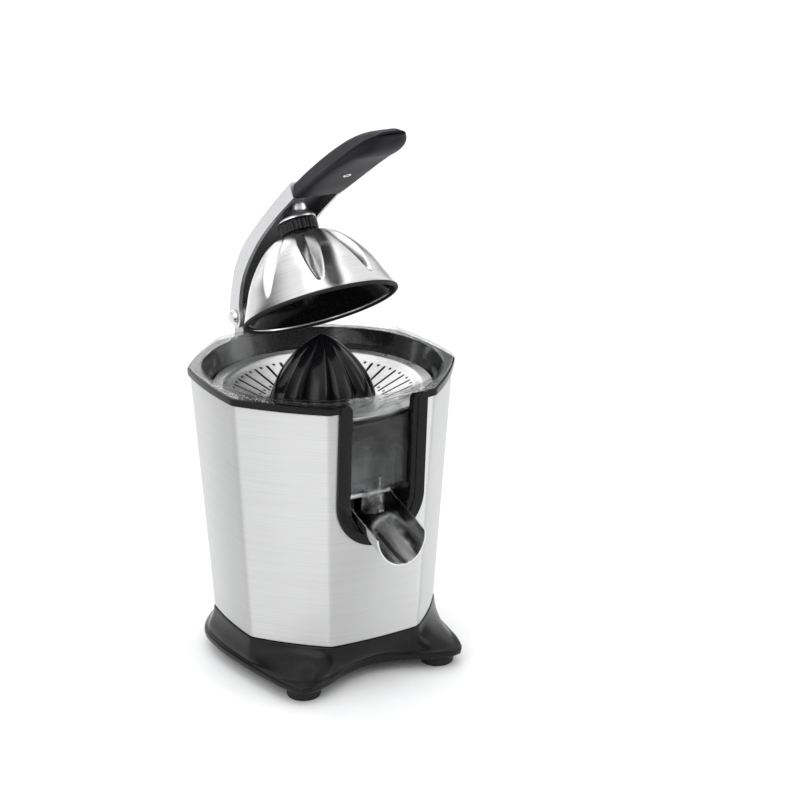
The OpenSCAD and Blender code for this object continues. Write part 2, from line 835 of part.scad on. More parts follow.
module hinge_bracket() {
    half = arm_w / 2 - arm_t - 1.1;
    color([0.7, 0.71, 0.72]) difference() {
        across_x(half) union() {
            translate([pivot_y, pivot_z]) circle(r = 8.7);
            polygon([[92.9, 211.2], [90.9, 211.2], [89.5, 188], [96, 188], [104, 198],
                [pivot_y + 8.7, 214], [pivot_y + 8.7, pivot_z], [pivot_y - 5.6, pivot_z]]);
        }
        translate([-30, pivot_y, pivot_z]) rotate([0, 90, 0]) cylinder(h = 60, r = 3);
        bracket_holes(2.1);
        for (x = [-9, 9]) translate([x, 98, bracket_z]) rotate([-90, 0, 0]) cylinder(h = 20, r = 4);
    }
}

module bracket_screws() {
    color(steel) for (x = [-9, 9])
        translate([x, 98, bracket_z]) rotate([90, 0, 0]) cap_screw(1.6, 14, 3.6, 3);
}

module pivot_bolt() {
    color(steel) translate([-arm_w / 2, pivot_y, pivot_z]) rotate([0, 90, 0]) {
        translate([0, 0, -0.5]) cylinder(h = arm_w + 5, r = 2.95);
        translate([0, 0, -3.2]) cylinder(h = 3.1, r1 = 4, r2 = 6.2);
    }
}

module pivot_nut() {
    color(steel) translate([arm_w / 2 + 0.1, pivot_y, pivot_z]) rotate([0, 90, 0]) difference() {
        cylinder(h = 4, r = 5.6, $fn = 6);
        translate([0, 0, -1]) cylinder(h = 6, r = 3);
    }
}

module friction_washers() {
    color([0.3, 0.28, 0.25]) mirror_x() translate([arm_w / 2 - arm_t - 1.05, pivot_y, pivot_z])
        rotate([0, 90, 0]) tube(8.2, 3.05, 0.95);
}

// ---------- Lever ----------

module lever_arm() {
    top = spline(arm_top, 5);
    under = spline(arm_under, 5);
    color([0.8, 0.8, 0.8]) raised() difference() {
        union() {
            across_x(arm_w / 2) {
                polygon(concat(top, under));
                translate([pivot_y, pivot_z]) circle(r = 9);
            }
            across_x(12) polygon([[grip_y + 1, 283.5], [grip_y + 1, 288], [-132, 288], [-132, 283.5]]);
        }
        across_x(arm_w / 2 - arm_t) difference() {
            polygon(concat([[120, 200], [120, 234]], shifted(top, arm_t), [[-70, 285], [-70, 200]]));
            translate([-90, 150]) square([90 + grip_y + arm_t, 200]);
        }
        translate([-arm_w / 2 + arm_t, pivot_y, pivot_z]) rotate([0, 90, 0])
            cylinder(h = arm_w - 2 * arm_t, r = 12.5);
        translate([-40, pivot_y, pivot_z]) rotate([0, 90, 0]) cylinder(h = 80, r = 3);
        for (y = grip_screw_y) translate([0, y, 270]) cylinder(h = 30, r = 1.7);
        translate([0, 0, 260]) cylinder(h = 25, r = 2.45);
    }
}

// One thin cross-section of the grip at a distance y, between two heights with their half-widths
module grip_section(y, z_low, w_low, z_high, w_high) {
    across_y(y - 0.5, y) polygon([[-w_low, z_low], [w_low, z_low], [w_high, z_high], [-w_high, z_high]]);
}

module grip_pocket() {
    translate([-12.2, -132.5, 283.3]) cube([24.4, 100, 4.9]);
    for (y = grip_screw_y) translate([0, y, 270]) cylinder(h = 20, r = 1.7);
}

module grip_top() {
    color(black) raised() difference() {
        hull() {
            grip_section(grip_y, grip_split_z, arm_w / 2, 291.6, 16.5);
            grip_section(-84, grip_split_z, arm_w / 2, 293.8, 15.5);
            grip_section(-126, grip_split_z, 20, 292.8, 14.5);
            grip_section(-152, grip_split_z, 17.5, 288.8, 12);
            grip_section(-163, grip_split_z, 12, 283, 8);
        }
        grip_pocket();
    }
}

module grip_under() {
    color([0.05, 0.05, 0.055]) raised() difference() {
        union() {
            hull() {
                grip_section(grip_y - 0.3, 278.4, 17, grip_split_z - 0.05, arm_w / 2);
                grip_section(-124, 276.5, 15.5, grip_split_z - 0.05, 20);
            }
            hull() {
                grip_section(-120, 277.3, 15.5, grip_split_z - 0.05, 20.1);
                grip_section(-144, 272.6, 12.5, grip_split_z - 0.05, 18.4);
                grip_section(-158, 275, 8, grip_split_z - 0.05, 14.3);
            }
        }
        grip_pocket();
        for (y = grip_screw_y) translate([0, y, 260]) cylinder(h = 18.8, r = 3.3);
    }
}

module grip_screws() {
    color(steel) raised() for (y = grip_screw_y) translate([0, y, 278.8]) cap_screw(1.6, 11, 3, 1.8);
}

// ---------- Stem and dome ----------

stem_y = -7.5;

module dome_stem() {
    color([0.85, 0.85, 0.86]) raised() difference() {
        union() {
            translate([0, 0, stem_z + 0.2]) cylinder(h = 2.6, r = ring_r - 0.2);
            hull() {
                translate([0, 0, stem_z + 2]) cylinder(h = 0.8, r = ring_r - 0.8, $fn = 32);
                translate([0, stem_y, stem_z + 7]) cylinder(h = 13, r = 7.2, $fn = 32);
            }
            translate([0, 0, ring_z + 0.15]) cylinder(h = ring_h + 0.85, r = 8);
        }
        translate([0, 0, ring_z - 5]) cylinder(h = 40, r = 2.5);
        across_x(40) polygon(concat(shifted(spline(arm_top, 5), arm_t + 0.05), [[-60, 320], [120, 320]]));
    }
}

module dome_lock_ring() {
    color(black) raised() translate([0, 0, ring_z + 0.3]) difference() {
        cylinder(h = ring_h - 0.5, r = ring_r);
        translate([0, 0, -1]) cylinder(h = ring_h + 2, r = 8.07);
        for (i = [0 : 23]) rotate(i * 15) translate([ring_r + 0.3, 0, 1]) cylinder(h = ring_h, r = 0.9);
    }
}

// Depth of the grooves between the petals at a height fraction t: none at the edge or the top
function groove(t) = 4.2 * pow(sin(180 * pow(t, 0.75)), 1.3);

function petal(a) = pow(1 - abs(sin(a * petal_count / 2)), 3);

// A ring of points for each step of the dome's profile, from its edge to its crown
function dome_points(curve, inset, around) = [
    for (j = [0 : len(curve) - 1], i = [0 : around - 1])
        let (
            t = j / (len(curve) - 1), a = i * 360 / around,
            r = curve[j][0] * dome_r / 57 - inset - groove(t) * petal(a + 22.5)
        )
        [r * cos(a), r * sin(a), curve[j][1] - inset * t]
];

module dome_shell() {
    curve = spline(dome_profile, 2);
    around = petal_count * 10;
    rings = len(curve);
    inner = rings * around;
    points = concat(dome_points(curve, 0, around), dome_points(curve, 1, around));
    side = [
        for (j = [0 : rings - 2], i = [0 : around - 1])
            let (a = j * around + i, b = j * around + (i + 1) % around)
            each [[a, b + around, b], [a, a + around, b + around]]
    ];
    inside = [for (f = side) [f[2] + inner, f[1] + inner, f[0] + inner]];
    edges = [
        for (i = [0 : around - 1])
            let (k = (i + 1) % around, top = (rings - 1) * around)
            each [
                [i, k, k + inner], [i, k + inner, i + inner],
                [top + i, top + k + inner, top + k], [top + i, top + i + inner, top + k + inner]
            ]
    ];
    color(steel) raised() translate([0, 0, dome_z]) {
        polyhedron(points, concat(side, inside, edges));
        translate([0, 0, 55]) difference() {
            cylinder(h = 1.1, r = 12.9);
            translate([0, 0, -1]) cylinder(h = 4, r = 2.6);
        }
    }
}

module dome_liner() {
    cup = [[54.4, 0.6], [48.2, 9], [39.5, 23], [29.5, 36], [18.5, 45.5], [9, 52.5]];
    inner = [[7.5, 51], [17, 44], [28, 34.8], [37.8, 22], [46.4, 8.6], [52.6, 0.6]];
    color(black) raised() translate([0, 0, dome_z]) rotate_extrude()
        polygon(concat(cup, [[9, 53.9], [2.6, 53.9], [2.6, 51]], inner));
}

module dome_gasket() {
    color(black) raised() translate([0, 0, dome_z]) rotate_extrude($fn = 96)
        polygon([[dome_r - 2.6, -1.8], [dome_r - 0.4, -2], [dome_r + 0.8, -1.2], [dome_r + 0.8, 0.4],
            [dome_r + 0.1, 0.4], [dome_r + 0.1, -0.1], [dome_r - 2.6, -0.1]]);
}

module dome_screw() {
    color(steel) raised() translate([0, 0, dome_z + 50.9]) cap_screw(2.4, 25, 5, 2.4);
}

foot([-foot_front[0], foot_front[1]]);  // foot_front_left
foot(foot_front);  // foot_front_right
foot([-foot_rear[0], foot_rear[1]]);  // foot_rear_left
foot(foot_rear);  // foot_rear_right
foot_screws();
base();
base_plate();
base_screws();
body_shell();
inner_body();
top_collar();
front_bezel();
juice_bowl();
strainer();
spout();
spout_pin();
cord_gland();
terminal_block();
gearbox_housing();
gearbox_cover();
gearbox_screws();
motor_can();
motor_screws();
motor_rotor();
motor_shaft();
motor_pinion();
idler_gear();
idler_pin();
output_gear();
drive_spindle();
spindle_bush();
shaft_seal();
reamer_cone();
thrust_cup();
return_spring();
microswitch();
switch_lever();
hinge_bracket();
bracket_screws();
pivot_bolt();
pivot_nut();
friction_washers();
lever_arm();
grip_top();
grip_under();
grip_screws();
dome_stem();
dome_lock_ring();
dome_shell();
dome_liner();
dome_gasket();
dome_screw();
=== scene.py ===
import json
import math

import bmesh
import bpy
import numpy as np
from mathutils import Matrix, Vector


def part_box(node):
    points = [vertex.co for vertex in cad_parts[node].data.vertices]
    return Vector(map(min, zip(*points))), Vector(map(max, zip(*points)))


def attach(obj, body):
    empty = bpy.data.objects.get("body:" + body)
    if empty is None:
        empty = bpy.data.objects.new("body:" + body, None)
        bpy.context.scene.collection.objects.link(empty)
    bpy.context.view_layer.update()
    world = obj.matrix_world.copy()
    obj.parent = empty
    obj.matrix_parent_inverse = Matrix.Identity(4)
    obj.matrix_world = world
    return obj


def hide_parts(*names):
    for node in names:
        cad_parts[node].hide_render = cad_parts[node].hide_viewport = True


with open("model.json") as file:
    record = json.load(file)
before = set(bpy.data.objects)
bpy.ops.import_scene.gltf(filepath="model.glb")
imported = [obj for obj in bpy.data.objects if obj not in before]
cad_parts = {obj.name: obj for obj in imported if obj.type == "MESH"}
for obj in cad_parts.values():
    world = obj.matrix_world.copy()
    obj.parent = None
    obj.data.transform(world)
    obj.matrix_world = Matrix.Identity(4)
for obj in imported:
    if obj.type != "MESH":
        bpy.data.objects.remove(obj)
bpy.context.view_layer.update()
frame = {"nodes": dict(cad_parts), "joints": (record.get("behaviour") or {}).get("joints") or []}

MM = 0.001
TAU = 2 * math.pi


# ---------- Measures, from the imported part, in millimetres ----------

def low(node):
    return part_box(node)[0] / MM


def high(node):
    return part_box(node)[1] / MM


RIM_Z = high("juice_bowl").z
STEEL_Z = low("body_shell").z
STEEL_TOP = high("body_shell").z
BASE_Z = low("base").z
RIM_R = 97.0
FOOT_R = 82.7
BULGE = 2.5
CORNERS = [-26, 26, 69.4, 115.7, 156, 204, 244.3, 290.6]
LEAN = math.atan((RIM_R - FOOT_R) * math.cos(math.radians(26)) / (RIM_Z - STEEL_Z))
FRONT_Y = -(RIM_R * math.cos(math.radians(26)) + BULGE - 0.2)
FRONT = Matrix.Translation((0, FRONT_Y, RIM_Z)) @ Matrix.Rotation(LEAN, 4, "X")
FRAME_DROP = 80.0

SPOUT_RISE, SPOUT_LONG, SPOUT_SLOPE = 2.2, 63.0, 17.0
joints = {j["name"]: j for j in frame["joints"]}
SPOUT = (Matrix.Translation(Vector(joints["spout_tilt"]["pos_m"]) / MM)
         @ Matrix.Rotation(math.radians(SPOUT_SLOPE), 4, "X"))
swing = joints["lever_swing"]
PIVOT = Vector(swing["pos_m"]) / MM
RAISE_DEG = -swing["range_deg"][0]
RAISE = (Matrix.Translation(PIVOT) @ Matrix.Rotation(math.radians(-RAISE_DEG), 4, "X")
         @ Matrix.Translation(-PIVOT))


# ---------- Materials ----------

def link(tree, a, b):
    tree.links.new(a, b)


def coordinates(tree, tilted):
    """Object coordinates. The lever's pieces are turned back, so that the lever lies closed."""
    source = tree.nodes.new("ShaderNodeTexCoord").outputs["Object"]
    if not tilted:
        return source
    back = tree.nodes.new("ShaderNodeMapping")
    back.inputs["Rotation"].default_value = (math.radians(RAISE_DEG), 0, 0)
    inverse = RAISE.inverted()
    back.inputs["Location"].default_value = inverse.translation * MM
    link(tree, source, back.inputs["Vector"])
    return back.outputs["Vector"]


def noise(tree, source, scale, stretch=(1, 1, 1), detail=3.0, rough=0.55, distortion=0.0):
    mapping = tree.nodes.new("ShaderNodeMapping")
    mapping.inputs["Scale"].default_value = stretch
    link(tree, source, mapping.inputs["Vector"])
    node = tree.nodes.new("ShaderNodeTexNoise")
    node.inputs["Scale"].default_value = scale
    node.inputs["Detail"].default_value = detail
    node.inputs["Roughness"].default_value = rough
    node.inputs["Distortion"].default_value = distortion
    link(tree, mapping.outputs["Vector"], node.inputs["Vector"])
    return node.outputs["Fac"]


def ramp(tree, source, low_value, high_value, start=0.3, end=0.7):
    node = tree.nodes.new("ShaderNodeMapRange")
    node.inputs["From Min"].default_value = start
    node.inputs["From Max"].default_value = end
    node.inputs["To Min"].default_value = low_value
    node.inputs["To Max"].default_value = high_value
    link(tree, source, node.inputs["Value"])
    return node.outputs["Result"]


def colour_mix(tree, fac, a, b):
    node = tree.nodes.new("ShaderNodeMix")
    node.data_type = "RGBA"
    link(tree, fac, node.inputs["Factor"])
    node.inputs["A"].default_value = (*a, 1)
    node.inputs["B"].default_value = (*b, 1)
    return node.outputs["Result"]


def finish_material(name, colour, other, rough, rough_other, grain, stretch=(1, 1, 1), cloud=18.0,
                    bump=0.15, depth=0.00005, tilted=False, around=False, constants=None):
    """A surface with a fine grain, which sets colour and bump, and slow smudges, which set roughness."""
    made = bpy.data.materials.new(name)
    made.use_nodes = True
    tree = made.node_tree
    shader = tree.nodes["Principled BSDF"]
    source = coordinates(tree, tilted)
    fine = noise(tree, source, grain, stretch, detail=4.0)
    slow = noise(tree, source, cloud, detail=2.0, rough=0.5)
    both = tree.nodes.new("ShaderNodeMath")
    both.operation = "ADD"
    link(tree, fine, both.inputs[0])
    link(tree, slow, both.inputs[1])
    link(tree, colour_mix(tree, ramp(tree, fine, 0, 1), colour, other), shader.inputs["Base Color"])
    link(tree, ramp(tree, both.outputs[0], rough, rough_other, 0.7, 1.3), shader.inputs["Roughness"])
    relief = tree.nodes.new("ShaderNodeBump")
    relief.inputs["Strength"].default_value = bump
    relief.inputs["Distance"].default_value = depth
    link(tree, fine, relief.inputs["Height"])
    link(tree, relief.outputs["Normal"], shader.inputs["Normal"])
    if around:
        tangent = tree.nodes.new("ShaderNodeTangent")
        tangent.direction_type = "RADIAL"
        tangent.axis = "Z"
        link(tree, tangent.outputs["Tangent"], shader.inputs["Tangent"])
    for key, value in (constants or {}).items():
        shader.inputs[key].default_value = value
    return made


METAL = {"Metallic": 1.0}
LINES = (14, 14, 3200)
MATERIALS = {
    "body_steel": finish_material(
        "body_steel", (0.56, 0.56, 0.56), (0.66, 0.66, 0.655), 0.40, 0.47, 1.0, LINES, cloud=9.0,
        bump=0.08, depth=0.00002, around=True,
        constants={"Metallic": 1.0, "Anisotropic": 0.92, "Anisotropic Rotation": 0.25}),
    "dome_steel": finish_material(
        "dome_steel", (0.56, 0.56, 0.555), (0.66, 0.66, 0.65), 0.20, 0.27, 1.0, (14, 14, 2600), cloud=14.0,
        bump=0.12, depth=0.00003, tilted=True, constants=METAL),
    "sheet_steel": finish_material(
        "sheet_steel", (0.46, 0.46, 0.46), (0.56, 0.56, 0.55), 0.26, 0.36, 1.0, (90, 90, 900), cloud=22.0,
        bump=0.12, depth=0.00003, constants=METAL),
    "spout_steel": finish_material(
        "spout_steel", (0.62, 0.62, 0.62), (0.72, 0.72, 0.715), 0.12, 0.20, 1.0, (700, 25, 25), cloud=22.0,
        bump=0.10, depth=0.00003, constants=METAL),
    "screw_steel": finish_material(
        "screw_steel", (0.55, 0.55, 0.55), (0.68, 0.68, 0.67), 0.20, 0.34, 700.0, cloud=120.0,
        bump=0.15, depth=0.00003, constants=METAL),
    "pin_steel": finish_material(
        "pin_steel", (0.60, 0.60, 0.61), (0.70, 0.70, 0.70), 0.18, 0.28, 1.0, (80, 80, 2500), cloud=60.0,
        bump=0.15, depth=0.00003, constants=METAL),
    "arm_alloy": finish_material(
        "arm_alloy", (0.58, 0.58, 0.585), (0.66, 0.66, 0.66), 0.30, 0.42, 900.0, cloud=20.0,
        bump=0.22, depth=0.00004, tilted=True, constants=METAL),
    # The arm's alloy made nearly black: painted shade for the inner faces of the hollow lever channel.
    "arm_inside_painted_shade": finish_material(
        "arm_inside_painted_shade", (0.06, 0.06, 0.063), (0.10, 0.10, 0.105), 0.38, 0.5, 650.0, cloud=24.0,
        bump=0.3, depth=0.00006, tilted=True, constants={"Metallic": 0.5}),
    "stem_chrome": finish_material(
        "stem_chrome", (0.80, 0.80, 0.81), (0.88, 0.88, 0.88), 0.28, 0.36, 500.0, cloud=40.0,
        bump=0.08, depth=0.00002, tilted=True, constants=METAL),
    "gloss_black": finish_material(
        "gloss_black", (0.004, 0.004, 0.005), (0.008, 0.008, 0.009), 0.10, 0.19, 420.0, cloud=26.0,
        bump=0.05, depth=0.00003, constants={"Specular IOR Level": 0.24}),
    "collar_black": finish_material(
        "collar_black", (0.003, 0.003, 0.0035), (0.006, 0.006, 0.007), 0.09, 0.16, 600.0, cloud=22.0,
        bump=0.05, depth=0.00003, constants={"Specular IOR Level": 0.17}),
    "base_black": finish_material(
        "base_black", (0.003, 0.003, 0.0035), (0.007, 0.007, 0.008), 0.20, 0.28, 1100.0, cloud=16.0,
        bump=0.10, depth=0.00004, constants={"Specular IOR Level": 0.20}),
    "inner_black": finish_material(
        "inner_black", (0.008, 0.008, 0.009), (0.014, 0.014, 0.015), 0.40, 0.52, 900.0, cloud=30.0,
        bump=0.2, depth=0.00005, constants={"Specular IOR Level": 0.3}),
    "grip_black": finish_material(
        "grip_black", (0.004, 0.004, 0.006), (0.008, 0.008, 0.011), 0.46, 0.56, 1500.0, cloud=26.0,
        bump=0.35, depth=0.00006, tilted=True, constants={"Specular IOR Level": 0.13}),
    "rubber": finish_material(
        "rubber", (0.006, 0.006, 0.006), (0.013, 0.013, 0.013), 0.55, 0.72, 900.0, cloud=45.0,
        bump=0.4, depth=0.00008, constants={"Specular IOR Level": 0.3}),
    "clear": finish_material(
        "clear", (0.93, 0.95, 0.97), (0.97, 0.98, 0.99), 0.03, 0.07, 160.0, cloud=40.0,
        bump=0.01, depth=0.00002,
        constants={"Transmission Weight": 1.0, "IOR": 1.49, "Alpha": 0.26, "Specular IOR Level": 0.3}),
    "white_plastic": finish_material(
        "white_plastic", (0.72, 0.70, 0.64), (0.80, 0.79, 0.74), 0.38, 0.5, 700.0, cloud=50.0,
        bump=0.15, depth=0.00004),
    "cast_alloy": finish_material(
        "cast_alloy", (0.42, 0.43, 0.43), (0.55, 0.56, 0.56), 0.40, 0.56, 550.0, cloud=60.0,
        bump=0.5, depth=0.0001, constants=METAL),
    "motor_steel": finish_material(
        "motor_steel", (0.46, 0.47, 0.48), (0.58, 0.58, 0.58), 0.28, 0.42, 320.0, cloud=35.0,
        bump=0.2, depth=0.00005, constants=METAL),
    "copper": finish_material(
        "copper", (0.50, 0.22, 0.10), (0.68, 0.34, 0.17), 0.28, 0.42, 1.0, (900, 900, 60), cloud=80.0,
        bump=0.8, depth=0.0002, constants=METAL),
    "bronze": finish_material(
        "bronze", (0.42, 0.26, 0.12), (0.56, 0.37, 0.19), 0.34, 0.5, 900.0, cloud=80.0,
        bump=0.3, depth=0.00006, constants=METAL),
    "fibre": finish_material(
        "fibre", (0.10, 0.085, 0.07), (0.19, 0.16, 0.13), 0.7, 0.85, 1200.0, cloud=90.0,
        bump=0.6, depth=0.0001),
}


# ---------- Mesh helpers; all points are in millimetres ----------

def new_object(name, verts, faces):
    mesh = bpy.data.meshes.new(name)
    mesh.from_pydata([tuple(c * MM for c in v) for v in verts], [], faces)
    work = bmesh.new()
    work.from_mesh(mesh)
    bmesh.ops.remove_doubles(work, verts=work.verts, dist=1e-7)
    bmesh.ops.recalc_face_normals(work, faces=work.faces)
    work.to_mesh(mesh)
    work.free()
    made = bpy.data.objects.new(name, mesh)
    bpy.context.scene.collection.objects.link(made)
    return made


def loft(name, rings, looped=False):
    """Closed rings of points, one after another.

    looped joins the last ring to the first; otherwise both ends are capped.
    """
    n, count = len(rings[0]), len(rings)
    verts = [p for ring in rings for p in ring]
    faces = []
    for j in range(count if looped else count - 1):
        k = (j + 1) % count
        for i in range(n):
            m = (i + 1) % n
            faces.append((j * n + i, j * n + m, k * n + m, k * n + i))
    if not looped:
        faces.append(tuple(range(n)))
        faces.append(tuple(range((count - 1) * n, count * n)))
    return new_object(name, verts, faces)


def circle_ring(r, z, steps, centre=(0, 0)):
    return [(centre[0] + r * math.sin(TAU * i / steps), centre[1] - r * math.cos(TAU * i / steps), z)
            for i in range(steps)]


def rounded(points, radius, steps=4, closed=True):
    """The same outline with each corner cut round. radius is one number, or one for each point."""
    out, n = [], len(points)
    radii = radius if isinstance(radius, (list, tuple)) else [radius] * n
    for i, p in enumerate(points):
        if not closed and i in (0, n - 1):
            out.append(tuple(p))
            continue
        a, b, c = Vector(points[i - 1]), Vector(p), Vector(points[(i + 1) % n])
        d = min(radii[i], (a - b).length * 0.49, (c - b).length * 0.49)
        if d < 1e-6:
            out.append(tuple(p))
            continue
        start, end = b + (a - b).normalized() * d, b + (c - b).normalized() * d
        for k in range(steps + 1):
            t = k / steps
            out.append(tuple(start * (1 - t) ** 2 + b * 2 * t * (1 - t) + end * t * t))
    return out


def revolve(name, profile, steps=96, place=None):
    """A closed outline of (radius, height) turned about Z, then moved by the matrix place."""
    verts, faces, rows = [], [], []
    for r, z in profile:
        if r < 1e-4:
            rows.append([len(verts)] * steps)
            verts.append((0, 0, z))
        else:
            rows.append(list(range(len(verts), len(verts) + steps)))
            verts.extend(circle_ring(r, z, steps))
    for j in range(len(rows)):
        a, b = rows[j], rows[(j + 1) % len(rows)]
        for i in range(steps):
            k = (i + 1) % steps
            face = []
            for v in (a[i], a[k], b[k], b[i]):
                if v not in face:
                    face.append(v)
            if len(face) > 2:
                faces.append(tuple(face))
    if place is not None:
        verts = [place @ Vector(v) for v in verts]
    return new_object(name, verts, faces)


def prism(name, outline, start, end, place):
    """A flat outline of (u, v) pushed from start to end; place(u, v, w) gives the point."""
    rings = [[place(u, v, w) for u, v in outline] for w in (start, end)]
    return loft(name, rings)


def across_x(u, v, w):
    return (w, u, v)


def on_front(u, v, w):
    return tuple(FRONT @ Vector((u, w, v)))


def apply_modifiers(made):
    graph = bpy.context.evaluated_depsgraph_get()
    graph.update()
    mesh = bpy.data.meshes.new_from_object(made.evaluated_get(graph))
    made.modifiers.clear()
    made.data = mesh
    return made


def boolean(made, other, operation="DIFFERENCE", mend=False):
    modifier = made.modifiers.new("cut", "BOOLEAN")
    modifier.use_self = mend
    modifier.object = other
    modifier.operation = operation
    modifier.solver = "EXACT"
    apply_modifiers(made)
    bpy.data.objects.remove(other)
    return made


def joined(name, parts):
    """Several separate closed shapes as one object."""
    work = bmesh.new()
    for part in parts:
        work.from_mesh(part.data)
        bpy.data.objects.remove(part)
    mesh = bpy.data.meshes.new(name)
    work.to_mesh(mesh)
    work.free()
    made = bpy.data.objects.new(name, mesh)
    bpy.context.scene.collection.objects.link(made)
    return made


def shade(made, angle=32.0, bevel=0.0, segments=2):
    for polygon in made.data.polygons:
        polygon.use_smooth = True
    if bevel:
        modifier = made.modifiers.new("edges", "BEVEL")
        modifier.width = bevel * MM
        modifier.segments = segments
        modifier.limit_method = "ANGLE"
        modifier.angle_limit = math.radians(angle)
        modifier.use_clamp_overlap = True
        apply_modifiers(made)
        for polygon in made.data.polygons:
            polygon.use_smooth = True
    made.data.set_sharp_from_angle(angle=math.radians(angle))
    weigh = made.modifiers.new("normals", "WEIGHTED_NORMAL")
    weigh.keep_sharp = True
    weigh.weight = 80
    return made


def raise_lever(made):
    """From the closed lever's place to the raised one."""
    to_metres = Matrix.Scale(MM, 4)
    made.data.transform(to_metres @ RAISE @ to_metres.inverted())
    return made


def piece(made, body, nodes, material, angle=32.0, bevel=0.0, segments=2):
    made.data.materials.clear()
    made.data.materials.append(MATERIALS[material])
    shade(made, angle, bevel, segments)
    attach(made, body)
    if nodes:
        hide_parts(*nodes)
    return made


def refined(node, body, material, bevel=0.3, angle=32.0):
    """The CAD node's own shape with its flat faces merged and its edges broken."""
    source = frame["nodes"][node]
    work = bmesh.new()
    work.from_mesh(source.data)
    bmesh.ops.remove_doubles(work, verts=work.verts, dist=2e-7)
    bmesh.ops.dissolve_limit(work, angle_limit=math.radians(0.6), verts=work.verts, edges=work.edges)
    mesh = bpy.data.meshes.new(node + "_mesh")
    work.to_mesh(mesh)
    work.free()
    made = bpy.data.objects.new(node + "_look", mesh)
    bpy.context.scene.collection.objects.link(made)
    return piece(made, body, [node], material, angle, bevel)


def spline(points, steps):
    """Catmull-Rom curve through the points."""
    out = []
    for i in range(len(points) - 1):
        a = np.array(points[max(i - 1, 0)], float)
        b, c = np.array(points[i], float), np.array(points[i + 1], float)
        d = np.array(points[min(i + 2, len(points) - 1)], float)
        for k in range(steps):
            t = k / steps
            out.append(b + (c - a) * t / 2 + (2 * a - 5 * b + 4 * c - d) * t * t / 2
                       + (3 * b - a - 3 * c + d) * t ** 3 / 2)
    out.append(np.array(points[-1], float))
    return out


def evenly(points, count):
    """count points at equal steps along a polyline."""
    p = np.array(points, float)
    along = np.concatenate([[0], np.cumsum(np.linalg.norm(np.diff(p, axis=0), axis=1))])
    at = np.linspace(0, along[-1], count)
    return [tuple(np.interp(s, along, p[:, k]) for k in range(p.shape[1])) for s in at]


def smooth_step(t):
    t = min(1.0, max(0.0, t))
    return t * t * (3 - 2 * t)


# ---------- The eight-sided outline ----------

def corner_point(r, angle):
    a = math.radians(angle)
    return np.array([r * math.sin(a), -r * math.cos(a)])


def outline_table(width):
    """Angle and distance of the outline at the rim, its corners rounded over width."""
    dense = []
    for i in range(8):
        p, q = corner_point(RIM_R, CORNERS[i]), corner_point(RIM_R, CORNERS[(i + 1) % 8])
        d = q - p
        out = np.array([d[1], -d[0]]) / np.linalg.norm(d)
        for k in range(80):
            t = k / 80
            dense.append(p + d * t + out * BULGE * 4 * t * (1 - t))
    ring = np.array(evenly(dense + [dense[0]], 2401))[:-1]
    step = np.linalg.norm(ring[1] - ring[0])
    half = max(1, int(width / step / 2))
    kernel = np.array([half + 1 - abs(k) for k in range(-half, half + 1)], float)
    kernel /= kernel.sum()
    wrapped = np.concatenate([ring[-half:], ring, ring[:half]])
    even = np.stack([np.convolve(wrapped[:, k], kernel, "valid") for k in (0, 1)], axis=1)
    angle = np.degrees(np.arctan2(even[:, 0], -even[:, 1])) % 360
    order = np.argsort(angle)
    return angle[order], np.linalg.norm(even, axis=1)[order]


def corner_angles(spread=4.6):
    """Angles of the outline's points: close together at the corners, and even between them."""
    near = [-1.0, -0.74, -0.5, -0.3, -0.1, 0.1, 0.3, 0.5, 0.74, 1.0]
    out = []
    for i in range(8):
        c = CORNERS[i]
        following = CORNERS[i + 1] if i < 7 else CORNERS[0] + 360
        out += [c + spread * t for t in near]
        first, last = c + spread, following - spread
        out += [first + (last - first) * k / 10 for k in range(1, 10)]
    return np.array(out)


ANGLES = corner_angles()


def outline_ring(table, r, z, inset=0.0):
    """One ring of the outline with corners at radius r, moved in by inset."""
    radius = np.interp(ANGLES % 360, table[0], table[1], period=360) * r / RIM_R - inset
    a = np.radians(ANGLES)
    return [(x, y, z) for x, y in zip(radius * np.sin(a), -radius * np.cos(a))]


def angle_circle(r, z):
    a = np.radians(ANGLES)
    return [(r * math.sin(t), -r * math.cos(t), z) for t in a]


def shell_r(z):
    return FOOT_R + (RIM_R - FOOT_R) * (z - STEEL_Z) / (RIM_Z - STEEL_Z)


def u_outline(half, top, steps=40):
    """U shape in the front face's plane: (across, along)."""
    arc = [(half * math.cos(math.pi * k / steps), -FRAME_DROP - half * math.sin(math.pi * k / steps))
           for k in range(steps + 1)]
    return [(half, top)] + arc + [(-half, top)]


# ---------- Casing ----------

def make_steel():
    table = outline_table(9.0)
    levels = [(STEEL_Z + 0.5, 0.5), (STEEL_Z + 0.9, 0.12), (STEEL_Z + 1.6, 0)]
    levels += [(z, 0) for z in np.linspace(50, STEEL_TOP - 8, 10)]
    levels += [(STEEL_TOP - 0.6, 0), (STEEL_TOP, 0.3)]
    rings = [outline_ring(table, shell_r(z), z, inset) for z, inset in levels]
    rings += [outline_ring(table, shell_r(z), z, 1.0) for z in (STEEL_TOP, STEEL_Z + 0.5)]
    made = loft("steel_wrap", rings, looped=True)
    boolean(made, prism("cut", u_outline(32.5, 5), -6, 30, on_front))
    piece(made, "body", ["body_shell"], "body_steel", angle=40)


